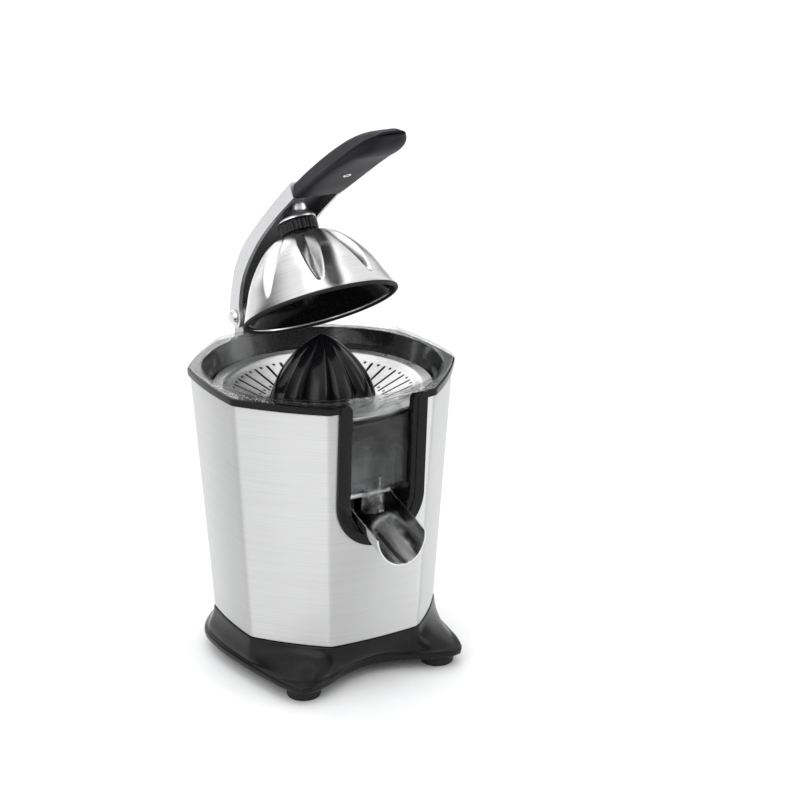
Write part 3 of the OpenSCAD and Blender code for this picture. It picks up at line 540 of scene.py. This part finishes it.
def make_collar():
    table = outline_table(5.0)
    rings = [outline_ring(table, RIM_R + 1, 216.4, 0.6), outline_ring(table, RIM_R + 1, 216.6, 0.15),
             outline_ring(table, RIM_R + 1, 217.1, 0.0), outline_ring(table, RIM_R + 1.2, 220.6, 0.0),
             outline_ring(table, RIM_R + 1.2, 221.4, 0.25), outline_ring(table, RIM_R + 1.2, 221.8, 1.1)]
    rings += [angle_circle(r, z) for r, z in ((89.4, 221.8), (88.7, 221.6), (88.3, 221.0), (83.3, 206.2),
                                             (83.5, 205.6), (85.5, 205.6), (88.0, 216.2), (88.2, 217.2))]
    rings += [outline_ring(table, RIM_R, 217.2, 0.0), outline_ring(table, RIM_R, 216.4, 0.2)]
    made = loft("rim_collar", rings, looped=True)
    boolean(made, prism("cut", u_outline(35.5, 10), -8, 20, on_front))
    piece(made, "body", ["top_collar"], "collar_black")


def make_bezel():
    """The window's frame, with a stepped face, and the tunnel round the spout."""
    # Half-width, and depth behind the front face
    section = [(35.4, 2.4), (35.4, -0.35), (35.1, -0.8), (34.5, -1.0), (28.3, -1.0), (27.9, -0.85),
               (27.6, -0.4), (27.5, 0.2), (27.2, 0.45), (25.6, 0.5), (25.0, 0.65), (24.5, 1.1),
               (24.05, 2.0), (24.0, 4.0), (24.0, 5.9), (24.0, 6.0), (25.9, 6.0), (25.9, 2.4)]
    deep = {14: 20.0, 15: 35.8, 16: 35.8}
    top, tunnel_top = -3.2, -52.0
    path = []
    for z in list(np.linspace(top, top - 9, 12)) + [-20, -35, tunnel_top + 0.5, tunnel_top - 0.5, -60, -70]:
        path.append((1.0, 0.0, z))
    for k in range(49):
        a = math.pi * k / 48
        path.append((math.cos(a), math.sin(a), -FRAME_DROP))
    path += [(-1.0, 0.0, z) for _, _, z in reversed(path[:18])]
    rings = []
    for side, down, z in path:
        ring = []
        for i, (half, y) in enumerate(section):
            if i in deep and z < tunnel_top:
                y = deep[i]
            # The frame's upper inner corner is round
            rise = max(0.0, z - (top - 7.0))
            turn = 7.0 - math.sqrt(max(0.0, 49.0 - rise * rise))
            x = half + turn * max(0.0, min(1.0, (35.4 - half) / 11.4)) * 0.9
            ring.append(tuple(FRONT @ Vector((side * x, y, z - down * half))))
        rings.append(ring)
    made = loft("window_frame", rings)
    notch = [(20.6 * math.sin(TAU * k / 96), SPOUT_RISE - 20.6 * math.cos(TAU * k / 96)) for k in range(96)]
    boolean(made, prism("notch", notch, -60, 10, lambda u, v, w: in_spout(u, w, v)), mend=True)
    piece(made, "body", ["front_bezel"], "collar_black", angle=38)


def base_outline_points():
    half = [(0, 69.7), (10, 72.5), (20, 80.5), (29, 97), (37, 109), (46, 103), (55, 95), (66, 88.5),
            (82, 84.5), (100, 86), (118, 91), (136, 91.5), (158, 91.5), (180, 91)]
    before = [(-a, r) for a, r in reversed(half[1:4])]
    after = [(360 - a, r) for a, r in reversed(half[10:13])]
    whole = before + half + after
    curve = np.array(spline(whole, 12))
    return curve[:, 0], curve[:, 1]


def make_base():
    chin = 15.5
    table = outline_table(9.0)
    at, reach = base_outline_points()
    fold = np.where(ANGLES % 360 > 180, 360 - ANGLES % 360, ANGLES % 360)
    low_r = np.interp(fold, at, reach)
    high_r = np.interp(ANGLES % 360, table[0], table[1], period=360) * (FOOT_R + 0.8) / RIM_R
    a = np.radians(ANGLES)

    def ring(z, inset):
        u = max(0.0, (z - chin + 1.5) / (STEEL_Z - chin + 1.5))
        r = high_r + (low_r - high_r) * (1 - u) ** 1.9 - inset
        return [(x, y, z) for x, y in zip(r * np.sin(a), -r * np.cos(a))]

    outer = [(BASE_Z, 1.9), (BASE_Z + 0.25, 1.1), (BASE_Z + 0.8, 0.5), (BASE_Z + 1.6, 0.25),
             (11.5, 0.15), (13.2, 0.2), (14.2, 0.45), (14.9, 0.9), (15.5, 1.35), (16.2, 1.3),
             (17.0, 0.95), (18.0, 0.55), (19.2, 0.25)]
    outer += [(z, 0.0) for z in (20.5, 22, 24, 26, 28, 30, 32)]
    outer += [(33.3, 0.1), (33.8, 0.4), (34.0, 1.0)]
    rings = [ring(z, d) for z, d in outer]
    rings += [angle_circle(r, z) for r, z in ((76, 34.0), (34, 34.0), (34, 31.0))]
    rings += [ring(z, 3.0) for z in (31, 26, 20, 14, BASE_Z)]
    made = loft("base_skirt", rings, looped=True)
    boss = [(x, -68.8, 20.5, 5.0) for x in (56.2, -56.2)]
    boss += [(x, 56.0, 32.0, 5.0) for x in (44.0, -44.0)]
    for k in range(3):
        b = math.radians(60 + 120 * k)
        boss.append((-60 * math.sin(b), 60 * math.cos(b), 32.0, 4.5))
    parts = [made]
    for i, (x, y, top, r) in enumerate(boss):
        start = BASE_Z if i < 4 else BASE_Z + 2.5
        outline = [(1.9, start), (r, start), (r, top), (1.9, top)]
        parts.append(revolve(f"boss_{i}", rounded(outline, 0.3, 2), 32, Matrix.Translation((x, y, 0))))
    made = joined("base_skirt", parts)
    piece(made, "body", ["base"], "base_black", angle=50)


def make_feet():
    outline = rounded([(4.5, 0), (11.9, 0), (12.5, 2.4), (12.5, 6.4), (11.4, 7.2), (10.8, 8.9), (2.1, 8.9),
                       (2.1, 5), (4.5, 5)], [0.3, 0.9, 0.6, 0.8, 0.5, 0.3, 0, 0, 0.2])
    for node in ("foot_front_left", "foot_front_right", "foot_rear_left", "foot_rear_right"):
        centre = (low(node) + high(node)) / 2
        made = revolve(node + "_pad", outline, 72, Matrix.Translation((centre.x, centre.y, 0)))
        piece(made, "body", [node], "rubber")


# ---------- Bowl, strainer, reamer and spout ----------

def slope_r(z):
    return 80.5 + 6.5 * (z - 205.5) / (RIM_Z - 205.5)


def make_bowl():
    table = outline_table(4.0)
    wall = 2
    outer = [(0, 178), (78.2, 178), (79, 178.8), (79, 202.5), (82.5, 205.5),
             (slope_r(221.9) + wall, 221.9), (slope_r(222.6) + wall, 222.6), (0, 222.6)]
    made = revolve("clear_bowl", outer, 144)
    # Height, and distance in from the outline
    edge = [(222.0, 0.5), (222.3, 0.1), (222.8, 0.0), (224.1, 0.05), (224.6, 0.35), (224.95, 1.0),
            (225.0, 1.8)]
    lip = [outline_ring(table, RIM_R, z, d) for z, d in edge]
    boolean(made, loft("lip", lip), "UNION")
    half = 23.2
    lean = math.tan(LEAN)
    room = [(-83.4, 205), (-83.4 + lean * 55, 150), (-56, 150), (-56, 205)]
    box = prism("chamber", room, -half, half, across_x)
    shade(box, 30, 1.2, 3)
    apply_modifiers(box)
    boolean(made, box, "UNION")
    at_outlet = Matrix.Translation((0, -72.5, 0))
    outlet = [(0, 151.5), (8.2, 151.5), (8.2, 133.4), (7.8, 133), (0, 133)]
    boolean(made, revolve("pipe", outlet, 64, at_outlet), "UNION")
    inside = [(0, 180), (74, 180), (77, 183), (77, 204.5), (77.6, 205.5), (80.5, 205.7)]
    inside += [(slope_r(z), z) for z in (212, 220, 223.6)]
    inside += [(87.4, 224.6), (88.3, 225.4), (88.3, 228), (0, 228)]
    boolean(made, revolve("inside", inside, 144))
    space = [(-81.4 + lean, 204), (-81.4 + lean * 53, 152), (-58, 152), (-58, 204)]
    hollow = prism("hollow", space, -half + 2, half - 2, across_x)
    shade(hollow, 30, 1.0, 3)
    apply_modifiers(hollow)
    boolean(made, hollow)
    bore = [(0, 165), (6.6, 165), (6.6, 130), (0, 130)]
    boolean(made, revolve("bore", bore, 64, at_outlet))
    tube = revolve("tube", rounded([(7.5, 177), (9.5, 177), (9.5, 204), (7.5, 204)], 0.4, 2), 72)
    boolean(made, revolve("hole", [(0, 170), (8.4, 170), (8.4, 190), (0, 190)], 72))
    made = joined("clear_bowl", [made, tube])
    piece(made, "body", ["juice_bowl"], "clear", angle=34)


def make_strainer():
    slots, slot_r, hole_r = 34, 1.1, 1.2
    plate = [(79.9, 206.7), (79.9, 207.5), (73.2, 207.5), (71.4, 207.2), (69.3, 205.8), (66, 204.0),
             (42.4, 193.5), (41, 193.3), (13.2, 193.3), (13.2, 192.6), (41.2, 192.6), (42.6, 192.8),
             (66.2, 203.3), (69.6, 205.1), (71.6, 206.5), (73.4, 206.7)]
    made = revolve("strainer_plate", plate, 272)

    def arc(at, r, turns):
        return [(at + r * math.cos(t), r * math.sin(t)) for t in turns]

    def cutter(outline, angle):
        spin = Matrix.Rotation(angle, 4, "Z")
        return prism("cutter", outline, 188, 212, lambda u, v, w: tuple(spin @ Vector((u, v, w))))

    slot = arc(45.1, slot_r, np.linspace(math.pi / 2, 3 * math.pi / 2, 7))
    slot += arc(64.9, slot_r, np.linspace(-math.pi / 2, math.pi / 2, 7))
    cutters = []
    for i in range(slots):
        a = math.radians((i + 0.5) * 360 / slots)
        cutters.append(cutter(slot, a))
        for r in (47, 65):
            cutters.append(cutter(arc(r, hole_r, np.linspace(0, TAU, 13)[:-1]), a + math.pi / slots))
    boolean(made, joined("cutters", cutters))
    piece(made, "body", ["strainer"], "sheet_steel", angle=30)


def make_reamer():
    flutes, around, rows = 10, 240, 64
    skirt_z, height, radius = low("reamer_cone").z, high("reamer_cone").z - low("reamer_cone").z, 39.0

    def reach(t, a):
        body = radius * (1 - t ** 1.7) ** 0.72 * (1 - 0.1 * t)
        crease = 1 - abs(math.cos(a * flutes / 2))
        depth = 0.19 * min(1.0, t * 5 + 0.12) * (1 - 0.3 * t)
        return max(body * (1 - depth * crease ** 1.8), 0.6)

    rings = [circle_ring(radius - inset, skirt_z + 0.02, around) for inset in (5.5, 1.0)]
    for j in range(rows + 1):
        t = (j / rows) ** 0.9
        ring = []
        for i in range(around):
            a = TAU * i / around
            r = reach(t, a) - 0.6 * math.exp(-t * height / 0.6)
            ring.append((r * math.sin(a), -r * math.cos(a), skirt_z + t * height))
        rings.append(ring)
    made = loft("fluted_reamer", rings)
    piece(made, "drive", ["reamer_cone"], "gloss_black", angle=60)


def in_spout(x, y, z):
    """The spout's own frame: the pin is at the origin and -Y runs down the trough."""
    return tuple(SPOUT @ Vector((x, y, z)))


def make_spout():
    half, thick, back = 20.0, 1.2, -2.0
    turns = np.linspace(-90, 90, 73)
    rings = []
    for s in np.linspace(0, 1, 30):
        ring = []
        for r, order in ((half, turns), (half - thick, turns[::-1])):
            for d in order:
                a = math.radians(d)
                side = 1 - math.cos(a)
                end = -SPOUT_LONG + 8.9 * side
                along, deep = back + (end - back) * s, SPOUT_RISE - r * math.cos(a)
                ring.append(in_spout(r * math.sin(a), along, deep))
        rings.append(ring)
    parts = [loft("trough", rings)]
    cheek = rounded([(-14, -3), (-14, 1.2), (-2, 3.1), (3, 3.1), (4.5, 1), (4.5, -5), (-2, -6)], 1.2)
    for side in (1, -1):
        x0, x1 = sorted((side * (half - thick - 0.1), side * (half - 0.1)))
        parts.append(prism("cheek", cheek, x0, x1, lambda u, v, w: in_spout(w, u, v)))
    made = joined("pouring_spout", parts)
    piece(made, "spout", ["spout"], "spout_steel", angle=40, bevel=0.25)


# ---------- Lever ----------

ARM_TOP = [(108, 234), (106.5, 240.5), (93, 254.5), (76, 267.8), (50, 278), (5, 286), (-43, 291.5)]
ARM_UNDER = [(90, 234), (86, 240.5), (76, 250.5), (60, 260), (31, 269.8), (-3.5, 276), (-43, 279.8)]


def make_arm():
    half, wall = 20.5, 3.0
    top, under = evenly(spline(ARM_TOP, 12), 64), evenly(spline(ARM_UNDER, 12), 64)
    pairs = [(np.array(t), np.array(u)) for t, u in zip(top, under)]
    ends = []
    for k in range(11, 0, -1):
        a = math.radians(k * 8)
        ends.append((np.array([99 + 9 * math.cos(a), 234 - 9 * math.sin(a)]),
                     np.array([99 - 9 * math.cos(a), 234 - 9 * math.sin(a)])))
    pairs = ends + pairs
    rings = []
    for t, u in pairs:
        tall = float(np.linalg.norm(t - u))
        section = rounded([(-half, 0), (half, 0), (half, tall), (-half, tall)],
                          [min(0.9, tall / 3)] * 2 + [min(2.6, tall / 3)] * 2, 5)
        direction = (t - u) / max(tall, 1e-6)
        rings.append([(x, *(u + direction * v)) for x, v in section])
    made = loft("lever_channel", rings)
    curve = np.array(spline(ARM_TOP, 12))
    step = np.gradient(curve, axis=0)
    step /= np.linalg.norm(step, axis=1)[:, None]
    inner = curve + np.stack([-step[:, 1], step[:, 0]], axis=1) * wall
    inner = [tuple(p) for p in inner if p[0] > -39.6 and p[0] < 106]
    last = inner[-1]
    pocket = [(125, 200), (125, 234), (inner[0][0], 234)] + inner + [(-39.6, last[1] + 0.2), (-39.6, 200)]
    boolean(made, prism("pocket", pocket, -half + wall, half - wall, across_x))
    tongue = [(-41.6, 283.5), (-41.6, 288), (-132, 288), (-132, 283.5)]
    made = joined("lever_channel", [made, prism("tongue", tongue, -12, 12, across_x)])
    raise_lever(made)
    piece(made, "lever", ["lever_arm"], "arm_alloy", angle=36, bevel=0.35)
    # The channel's inner faces under the web take the dark alloy copy: painted shade inside the hollow.
    made.data.materials.append(MATERIALS["arm_inside_painted_shade"])
    back = Matrix.Scale(MM, 4) @ RAISE.inverted() @ Matrix.Scale(1 / MM, 4)
    for polygon in made.data.polygons:
        c = (back @ polygon.center) / MM
        if abs(c.x) < half - wall + 0.02 and -39.75 < c.y < 104 and under_web(c.y, c.z):
            polygon.material_index = 1


def under_web(y, z):
    """Whether a point of the closed lever lies below the web's outer face, where the painted shade of the
    hollow goes.
    """
    curve = np.array(spline(ARM_TOP, 12))
    order = np.argsort(curve[:, 0])
    return z < np.interp(y, curve[order, 0], curve[order, 1]) - 1.5


GRIP_Y = [-43.1, -60, -84, -105, -126, -140, -152, -159, -163]
GRIP_WIDE = [20.5, 20.5, 20.5, 20.3, 19.8, 18.9, 16.8, 14.2, 11.0]
GRIP_TOP = [16.4, 16.0, 15.5, 15.0, 14.2, 13.2, 11.4, 9.4, 7.2]
GRIP_HIGH = [290.9, 292.1, 292.8, 292.7, 291.8, 290.2, 287.9, 285.4, 282.8]
GRIP_LOW = [278.6, 278.0, 277.6, 277.0, 275.4, 273.2, 273.0, 275.2, 277.8]
GRIP_SPLIT = 280.0


def smooth_list(values):
    """The grip's measures at 60 even places along it, with their corners eased."""
    y = np.linspace(GRIP_Y[0], GRIP_Y[-1], 61)
    raw = np.interp(-y, [-v for v in GRIP_Y], values)
    eased = raw.copy()
    for _ in range(6):
        eased[1:-1] = (eased[:-2] + 2 * eased[1:-1] + eased[2:]) / 4
    return y, eased


def make_grip():
    y, wide = smooth_list(GRIP_WIDE)
    _, top = smooth_list(GRIP_TOP)
    _, tall = smooth_list(GRIP_HIGH)
    _, deep = smooth_list(GRIP_LOW)
    upper, lower = [], []
    for i in range(len(y)):
        w, t, h, d = wide[i], top[i], tall[i], deep[i]
        section = rounded([(-w, GRIP_SPLIT + 0.05), (w, GRIP_SPLIT + 0.05), (w, GRIP_SPLIT + 1.2),
                           (t, h), (0, h + 0.25), (-t, h), (-w, GRIP_SPLIT + 1.2)],
                          [0.2, 0.2, 1.6, 3.2, 6, 3.2, 1.6], 5)
        upper.append([(x, y[i], z) for x, z in section])
        w -= 0.15
        section = [(-w, GRIP_SPLIT - 0.1), (w, GRIP_SPLIT - 0.1)]
        for k in range(1, 24):
            a = math.pi * k / 24
            x = w * math.copysign(abs(math.cos(a)) ** 0.62, math.cos(a))
            section.append((x, GRIP_SPLIT - 0.1 - (GRIP_SPLIT - 0.1 - d) * math.sin(a) ** 0.75))
        lower.append([(x, y[i], z) for x, z in section])

    def ended(rings, split):
        """Rounds the far end off and eases the near end's edge."""
        out = []
        centre = np.mean(np.array(rings[0]), axis=0)
        near = [(0.985, 0.0), (0.995, 0.15), (1.0, 0.5)]
        first, last = np.array(rings[0]), np.array(rings[-1])
        for scale, step in near:
            out.append([tuple((p - centre) * [scale, 1, scale] + centre + [0, -step, 0]) for p in first])
        out += rings[1:]
        centre = np.mean(last, axis=0)
        centre[2] = split
        for k in range(1, 6):
            a = k / 5 * math.pi / 2
            scale = max(0.12, math.cos(a))
            step = 1.8 * math.sin(a)
            out.append([tuple((p - centre) * [scale, 1, scale] + centre + [0, -step, 0]) for p in last])
        return out

    made = raise_lever(loft("grip_upper", ended(upper, GRIP_SPLIT + 1)))
    piece(made, "lever", ["grip_top"], "grip_black", angle=50)
    made = raise_lever(loft("grip_lower", ended(lower, GRIP_SPLIT - 1)))
    piece(made, "lever", ["grip_under"], "grip_black", angle=50)


def ray_to_circle(origin, centre, r, a):
    """Distance from origin to a circle round it, in the direction a."""
    d = np.array([math.sin(a), -math.cos(a)])
    o = np.array(origin) - np.array(centre)
    b = float(o @ d)
    return -b + math.sqrt(max(0.0, b * b - float(o @ o) + r * r))


def make_stem():
    base, around = 273.7, 144
    middle = np.array([0.0, -2.0])

    def column(a):
        x, y = math.sin(a), -math.cos(a)
        best = 0.0
        for k in range(400):
            r = k * 0.05
            px, py = middle[0] + r * x, middle[1] + r * y
            in_column = math.hypot(px, py + 8.0) < 6.9
            in_fin = abs(px) < 4.6 + 1.4 * smooth_step((-py - 1) / 5) and -9 < py < 12
            if in_column or in_fin:
                best = r
        return best

    shape = [column(TAU * i / around) for i in range(around)]
    for _ in range(3):
        shape = [(shape[i - 1] + 2 * shape[i] + shape[(i + 1) % around]) / 4 for i in range(around)]
    rings = []
    # Height above the base, radius of the round foot, and how far the shape has turned into the column
    levels = [(0, 13.8, 0), (0.25, 14.2, 0), (0.7, 14.3, 0), (2.0, 14.3, 0), (2.5, 14.1, 0),
              (2.9, 13.6, 0.03), (3.5, 13.0, 0.1), (4.4, 12.4, 0.25), (5.4, 11.8, 0.45), (6.5, 11.2, 0.66),
              (7.7, 10.6, 0.84), (9.0, 10.2, 0.95), (10.5, 10.0, 1), (14.0, 10.0, 1)]
    for rise, r, mix in levels:
        z = base + rise
        ring = []
        for i in range(around):
            a = TAU * i / around
            r_here = ray_to_circle(middle, (0, 0), r, a) * (1 - mix) + shape[i] * mix
            x, y = middle[0] + r_here * math.sin(a), middle[1] - r_here * math.cos(a)
            under = np.interp(y, [-43, 5, 50], [288.4, 282.9, 275.0])
            ring.append((x, y, min(z, under + 0.8)))
        rings.append(ring)
    made = raise_lever(loft("dome_post", rings))
    piece(made, "lever", ["dome_stem"], "stem_chrome", angle=45)


def make_lock_ring():
    around, bottom, top = 288, 264.8, 273.3

    def ring(r, z, notch):
        out = []
        for i in range(around):
            phase = (i % 12) / 12
            depth = 0.62 * notch * max(0.0, math.cos(TAU * (phase - 0.5)) * 0.5 + 0.5) ** 2.5
            a = TAU * i / around
            out.append(((r - depth) * math.sin(a), -(r - depth) * math.cos(a), z))
        return out

    rings = [ring(13.4, bottom, 0), ring(14.1, bottom + 0.2, 0.3), ring(14.5, bottom + 0.8, 1),
             ring(14.5, top - 1.8, 1), ring(14.5, top - 1.2, 0.2), ring(14.4, top - 0.5, 0),
             ring(14.0, top, 0), ring(8.6, top, 0), ring(8.1, top - 0.5, 0), ring(8.1, bottom + 0.5, 0),
             ring(8.6, bottom, 0)]
    made = raise_lever(loft("twist_ring", rings, looped=True))
    piece(made, "lock_ring", ["dome_lock_ring"], "gloss_black", angle=40)


def make_dome():
    profile = [(57.0, 0.0), (56.6, 1.6), (55.2, 5.2), (52.2, 12), (46.3, 25.5), (37, 39.3),
               (25.6, 50.3), (13, 55.9)]
    curve = evenly(spline(profile, 8), 64)
    petals, around, base = 8, 320, 208.5

    def reach(t, a):
        """How far in the groove between two petals lies."""
        along = (a * petals / TAU + 0.5) % 1.0 - 0.5
        width = 0.03 + 0.24 * min(1.0, max(0.0, (t - 0.13) / 0.5)) ** 0.8
        valley = max(0.0, 1 - abs(along) / width) ** 0.95
        height = max(0.0, math.sin(math.pi * min(1.0, max(0.0, (t - 0.13) / 0.87)) ** 0.72)) ** 0.85
        return 6.2 * valley * height

    def ring(j, thick):
        r0, z0 = curve[j]
        t = j / (len(curve) - 1)
        out = []
        for i in range(around):
            a = TAU * i / around
            r = r0 - reach(t, a - TAU / 16) - thick
            out.append((r * math.sin(a), -r * math.cos(a), base + z0 - thick * t))
        return out

    rings = [ring(j, 0.0) for j in range(len(curve))]
    rings += [circle_ring(3.0, base + 56.1, around), circle_ring(3.0, base + 55.0, around)]
    rings += [ring(j, 1.0) for j in reversed(range(len(curve)))]
    made = raise_lever(loft("pressing_dome", rings, looped=True))
    piece(made, "lever", ["dome_shell"], "dome_steel", angle=50)
    cup = [(54.4, 0.6), (48.2, 9), (39.5, 23), (29.5, 36), (18.5, 45.5), (9, 52.5), (9, 53.9),
           (2.6, 53.9), (2.6, 51), (7.5, 51), (17, 44), (28, 34.8), (37.8, 22), (46.4, 8.6), (52.6, 0.6)]
    outline = [(r, z + base) for r, z in rounded(cup, 5.0, 6)]
    made = raise_lever(revolve("dome_cup", outline, 128))
    piece(made, "lever", ["dome_liner"], "gloss_black", angle=50)
    seal = [(54.4, -1.8), (55.4, -2.0), (56.6, -2.0), (57.8, -1.2), (57.8, 0.4), (57.1, 0.4), (57.1, -0.1),
            (54.4, -0.1)]
    outline = [(r, z + base) for r, z in rounded(seal, 0.5, 4)]
    made = raise_lever(revolve("dome_seal", outline, 160))
    piece(made, "lever", ["dome_gasket"], "rubber", angle=60)


# ---------- Everything in its place ----------

make_steel()
make_collar()
make_bezel()
make_base()
make_feet()
make_bowl()
make_strainer()
make_reamer()
make_spout()
make_arm()
make_grip()
make_stem()
make_lock_ring()
make_dome()

REFINED = [
    ("foot_screws", "body", "screw_steel", "screw_steel", 0.2),
    ("base_plate", "body", "black_plastic", "inner_black", 0.3),
    ("base_screws", "body", "screw_steel", "screw_steel", 0.2),
    ("inner_body", "body", "black_plastic", "inner_black", 0.0),
    ("spout_pin", "body", "screw_steel", "pin_steel", 0.3),
    ("cord_gland", "body", "black_plastic", "inner_black", 0.4),
    ("terminal_block", "body", "white_plastic", "white_plastic", 0.3),
    ("gearbox_housing", "body", "cast_alloy", "cast_alloy", 0.0),
    ("gearbox_cover", "body", "cast_alloy", "cast_alloy", 0.3),
    ("gearbox_screws", "body", "screw_steel", "screw_steel", 0.2),
    ("motor_can", "body", "motor_steel", "motor_steel", 0.5),
    ("motor_screws", "body", "screw_steel", "screw_steel", 0.15),
    ("motor_rotor", "rotor", "copper", "copper", 0.2),
    ("motor_shaft", "rotor", "screw_steel", "pin_steel", 0.3),
    ("motor_pinion", "rotor", "white_plastic", "white_plastic", 0.0),
    ("idler_gear", "idler", "white_plastic", "white_plastic", 0.0),
    ("idler_pin", "body", "screw_steel", "pin_steel", 0.3),
    ("output_gear", "drive", "white_plastic", "white_plastic", 0.0),
    ("drive_spindle", "drive", "screw_steel", "pin_steel", 0.3),
    ("spindle_bush", "body", "bronze", "bronze", 0.3),
    ("shaft_seal", "body", "rubber", "rubber", 0.3),
    ("thrust_cup", "press", "white_plastic", "white_plastic", 0.2),
    ("return_spring", "body", "screw_steel", "pin_steel", 0.0),
    ("microswitch", "body", "black_plastic", "inner_black", 0.2),
    ("switch_lever", "switch", "screw_steel", "pin_steel", 0.05),
    ("hinge_bracket", "body", "cast_alloy", "cast_alloy", 0.8),
    ("bracket_screws", "body", "screw_steel", "screw_steel", 0.3),
    ("pivot_bolt", "lever", "screw_steel", "screw_steel", 0.5),
    ("pivot_nut", "lever", "screw_steel", "screw_steel", 0.4),
    ("friction_washers", "body", "friction_fibre", "fibre", 0.15),
    ("grip_screws", "lever", "screw_steel", "screw_steel", 0.2),
    ("dome_screw", "lever", "screw_steel", "screw_steel", 0.3),
]
for node, body, slot, material, bevel in REFINED:
    refined(node, body, material, bevel)


# ---------- Stage, light and camera ----------

def make_stage():
    far, under = 16000, -0.05
    corners = [(-far, -far, under), (far, -far, under), (far, far, under), (-far, far, under)]
    floor = new_object("floor", corners, [(0, 1, 2, 3)])
    made = finish_material("floor_paint", (0.90, 0.90, 0.90), (0.92, 0.92, 0.92), 0.55, 0.65, 60.0,
                           cloud=2.0, bump=0.02, depth=0.0002)
    floor.data.materials.append(made)


def area_light(name, place, aim, size, power):
    data = bpy.data.lights.new(name, "AREA")
    data.shape = "RECTANGLE"
    data.size, data.size_y = size
    data.energy = power
    lamp = bpy.data.objects.new(name, data)
    lamp.location = place
    lamp.rotation_mode = "QUATERNION"
    lamp.rotation_quaternion = (Vector(aim) - Vector(place)).to_track_quat("-Z", "Y")
    bpy.context.scene.collection.objects.link(lamp)


# Brightness of the studio round the object: pairs of angle from the front towards +X, and strength
STUDIO = [(-180, 0.1), (-172, 1.5), (-160, 1.1), (-148, 0.5), (-138, 0.12), (-120, 0.2),
          (-100, 0.9), (-84, 1.7), (-76, 1.4), (-68, 0.85), (-60, 0.5), (-52, 0.3), (-44, 1.2),
          (-38, 1.0), (-28, 0.45), (8, 0.35), (20, 0.4), (32, 1.1), (44, 1.5), (66, 0.9),
          (90, 0.4), (108, 1.3), (124, 0.9), (140, 0.25), (156, 0.9), (170, 1.4), (180, 0.1)]
STUDIO_TOP = 1.28


def make_world():
    """White above, and light and dark panels round the horizon."""
    world = bpy.data.worlds.new("studio")
    bpy.context.scene.world = world
    world.use_nodes = True
    tree = world.node_tree
    background = tree.nodes["Background"]
    parts = tree.nodes.new("ShaderNodeSeparateXYZ")
    link(tree, tree.nodes.new("ShaderNodeTexCoord").outputs["Generated"], parts.inputs[0])
    flip = tree.nodes.new("ShaderNodeMath")
    flip.operation = "MULTIPLY"
    flip.inputs[1].default_value = -1
    link(tree, parts.outputs["Y"], flip.inputs[0])
    turn = tree.nodes.new("ShaderNodeMath")
    turn.operation = "ARCTAN2"
    link(tree, parts.outputs["X"], turn.inputs[0])
    link(tree, flip.outputs[0], turn.inputs[1])
    panels = tree.nodes.new("ShaderNodeFloatCurve")
    curve = panels.mapping.curves[0]
    most = max(v for _, v in STUDIO)
    places = [((angle + 180) / 360, value / most) for angle, value in STUDIO]
    curve.points[0].location, curve.points[1].location = places[0], places[-1]
    for place in places[1:-1]:
        curve.points.new(*place)
    panels.mapping.update()
    link(tree, ramp(tree, turn.outputs[0], 0, 1, -math.pi, math.pi), panels.inputs["Value"])
    scaled = tree.nodes.new("ShaderNodeMath")
    scaled.operation = "MULTIPLY"
    scaled.inputs[1].default_value = most
    link(tree, panels.outputs[0], scaled.inputs[0])
    mix = tree.nodes.new("ShaderNodeMix")
    link(tree, ramp(tree, parts.outputs["Z"], 0, 1, 0.35, 0.75), mix.inputs["Factor"])
    link(tree, scaled.outputs[0], mix.inputs["A"])
    mix.inputs["B"].default_value = STUDIO_TOP
    background.inputs["Color"].default_value = (0.985, 0.99, 1.0, 1)
    link(tree, mix.outputs["Result"], background.inputs["Strength"])


def make_light():
    area_light("key_left", (-1.6, -1.1, 1.3), (0, 0, 0.15), (1.1, 1.6), 10)
    area_light("fill_right", (1.7, -1.3, 0.9), (0, 0, 0.15), (0.5, 1.6), 4)
    area_light("top", (0.1, 0.3, 2.1), (0, 0, 0.2), (1.8, 1.8), 8)
    area_light("back", (0.4, 1.9, 1.2), (0, 0, 0.2), (1.6, 1.0), 5)


# The camera's place, and the directions that are right and up in its picture
CAMERA_AT = (-0.8192, -1.4865, 0.7944)
CAMERA_RIGHT = (0.8593, -0.5114, 0)
CAMERA_UP = (0.1706, 0.2867, 0.9427)
CAMERA_LENS = 111.04


def make_camera():
    data = bpy.data.cameras.new("camera")
    data.sensor_width = 36
    data.lens = CAMERA_LENS
    data.clip_start, data.clip_end = 0.05, 60
    camera = bpy.data.objects.new("camera", data)
    right, up = Vector(CAMERA_RIGHT).normalized(), Vector(CAMERA_UP)
    back = right.cross(up).normalized()
    up = back.cross(right).normalized()
    turn = Matrix((right, up, back)).transposed().to_4x4()
    camera.matrix_world = Matrix.Translation(CAMERA_AT) @ turn
    bpy.context.scene.collection.objects.link(camera)
    bpy.context.scene.camera = camera


make_stage()
make_world()
make_light()
make_camera()
bpy.context.scene.view_settings.view_transform = "Standard"
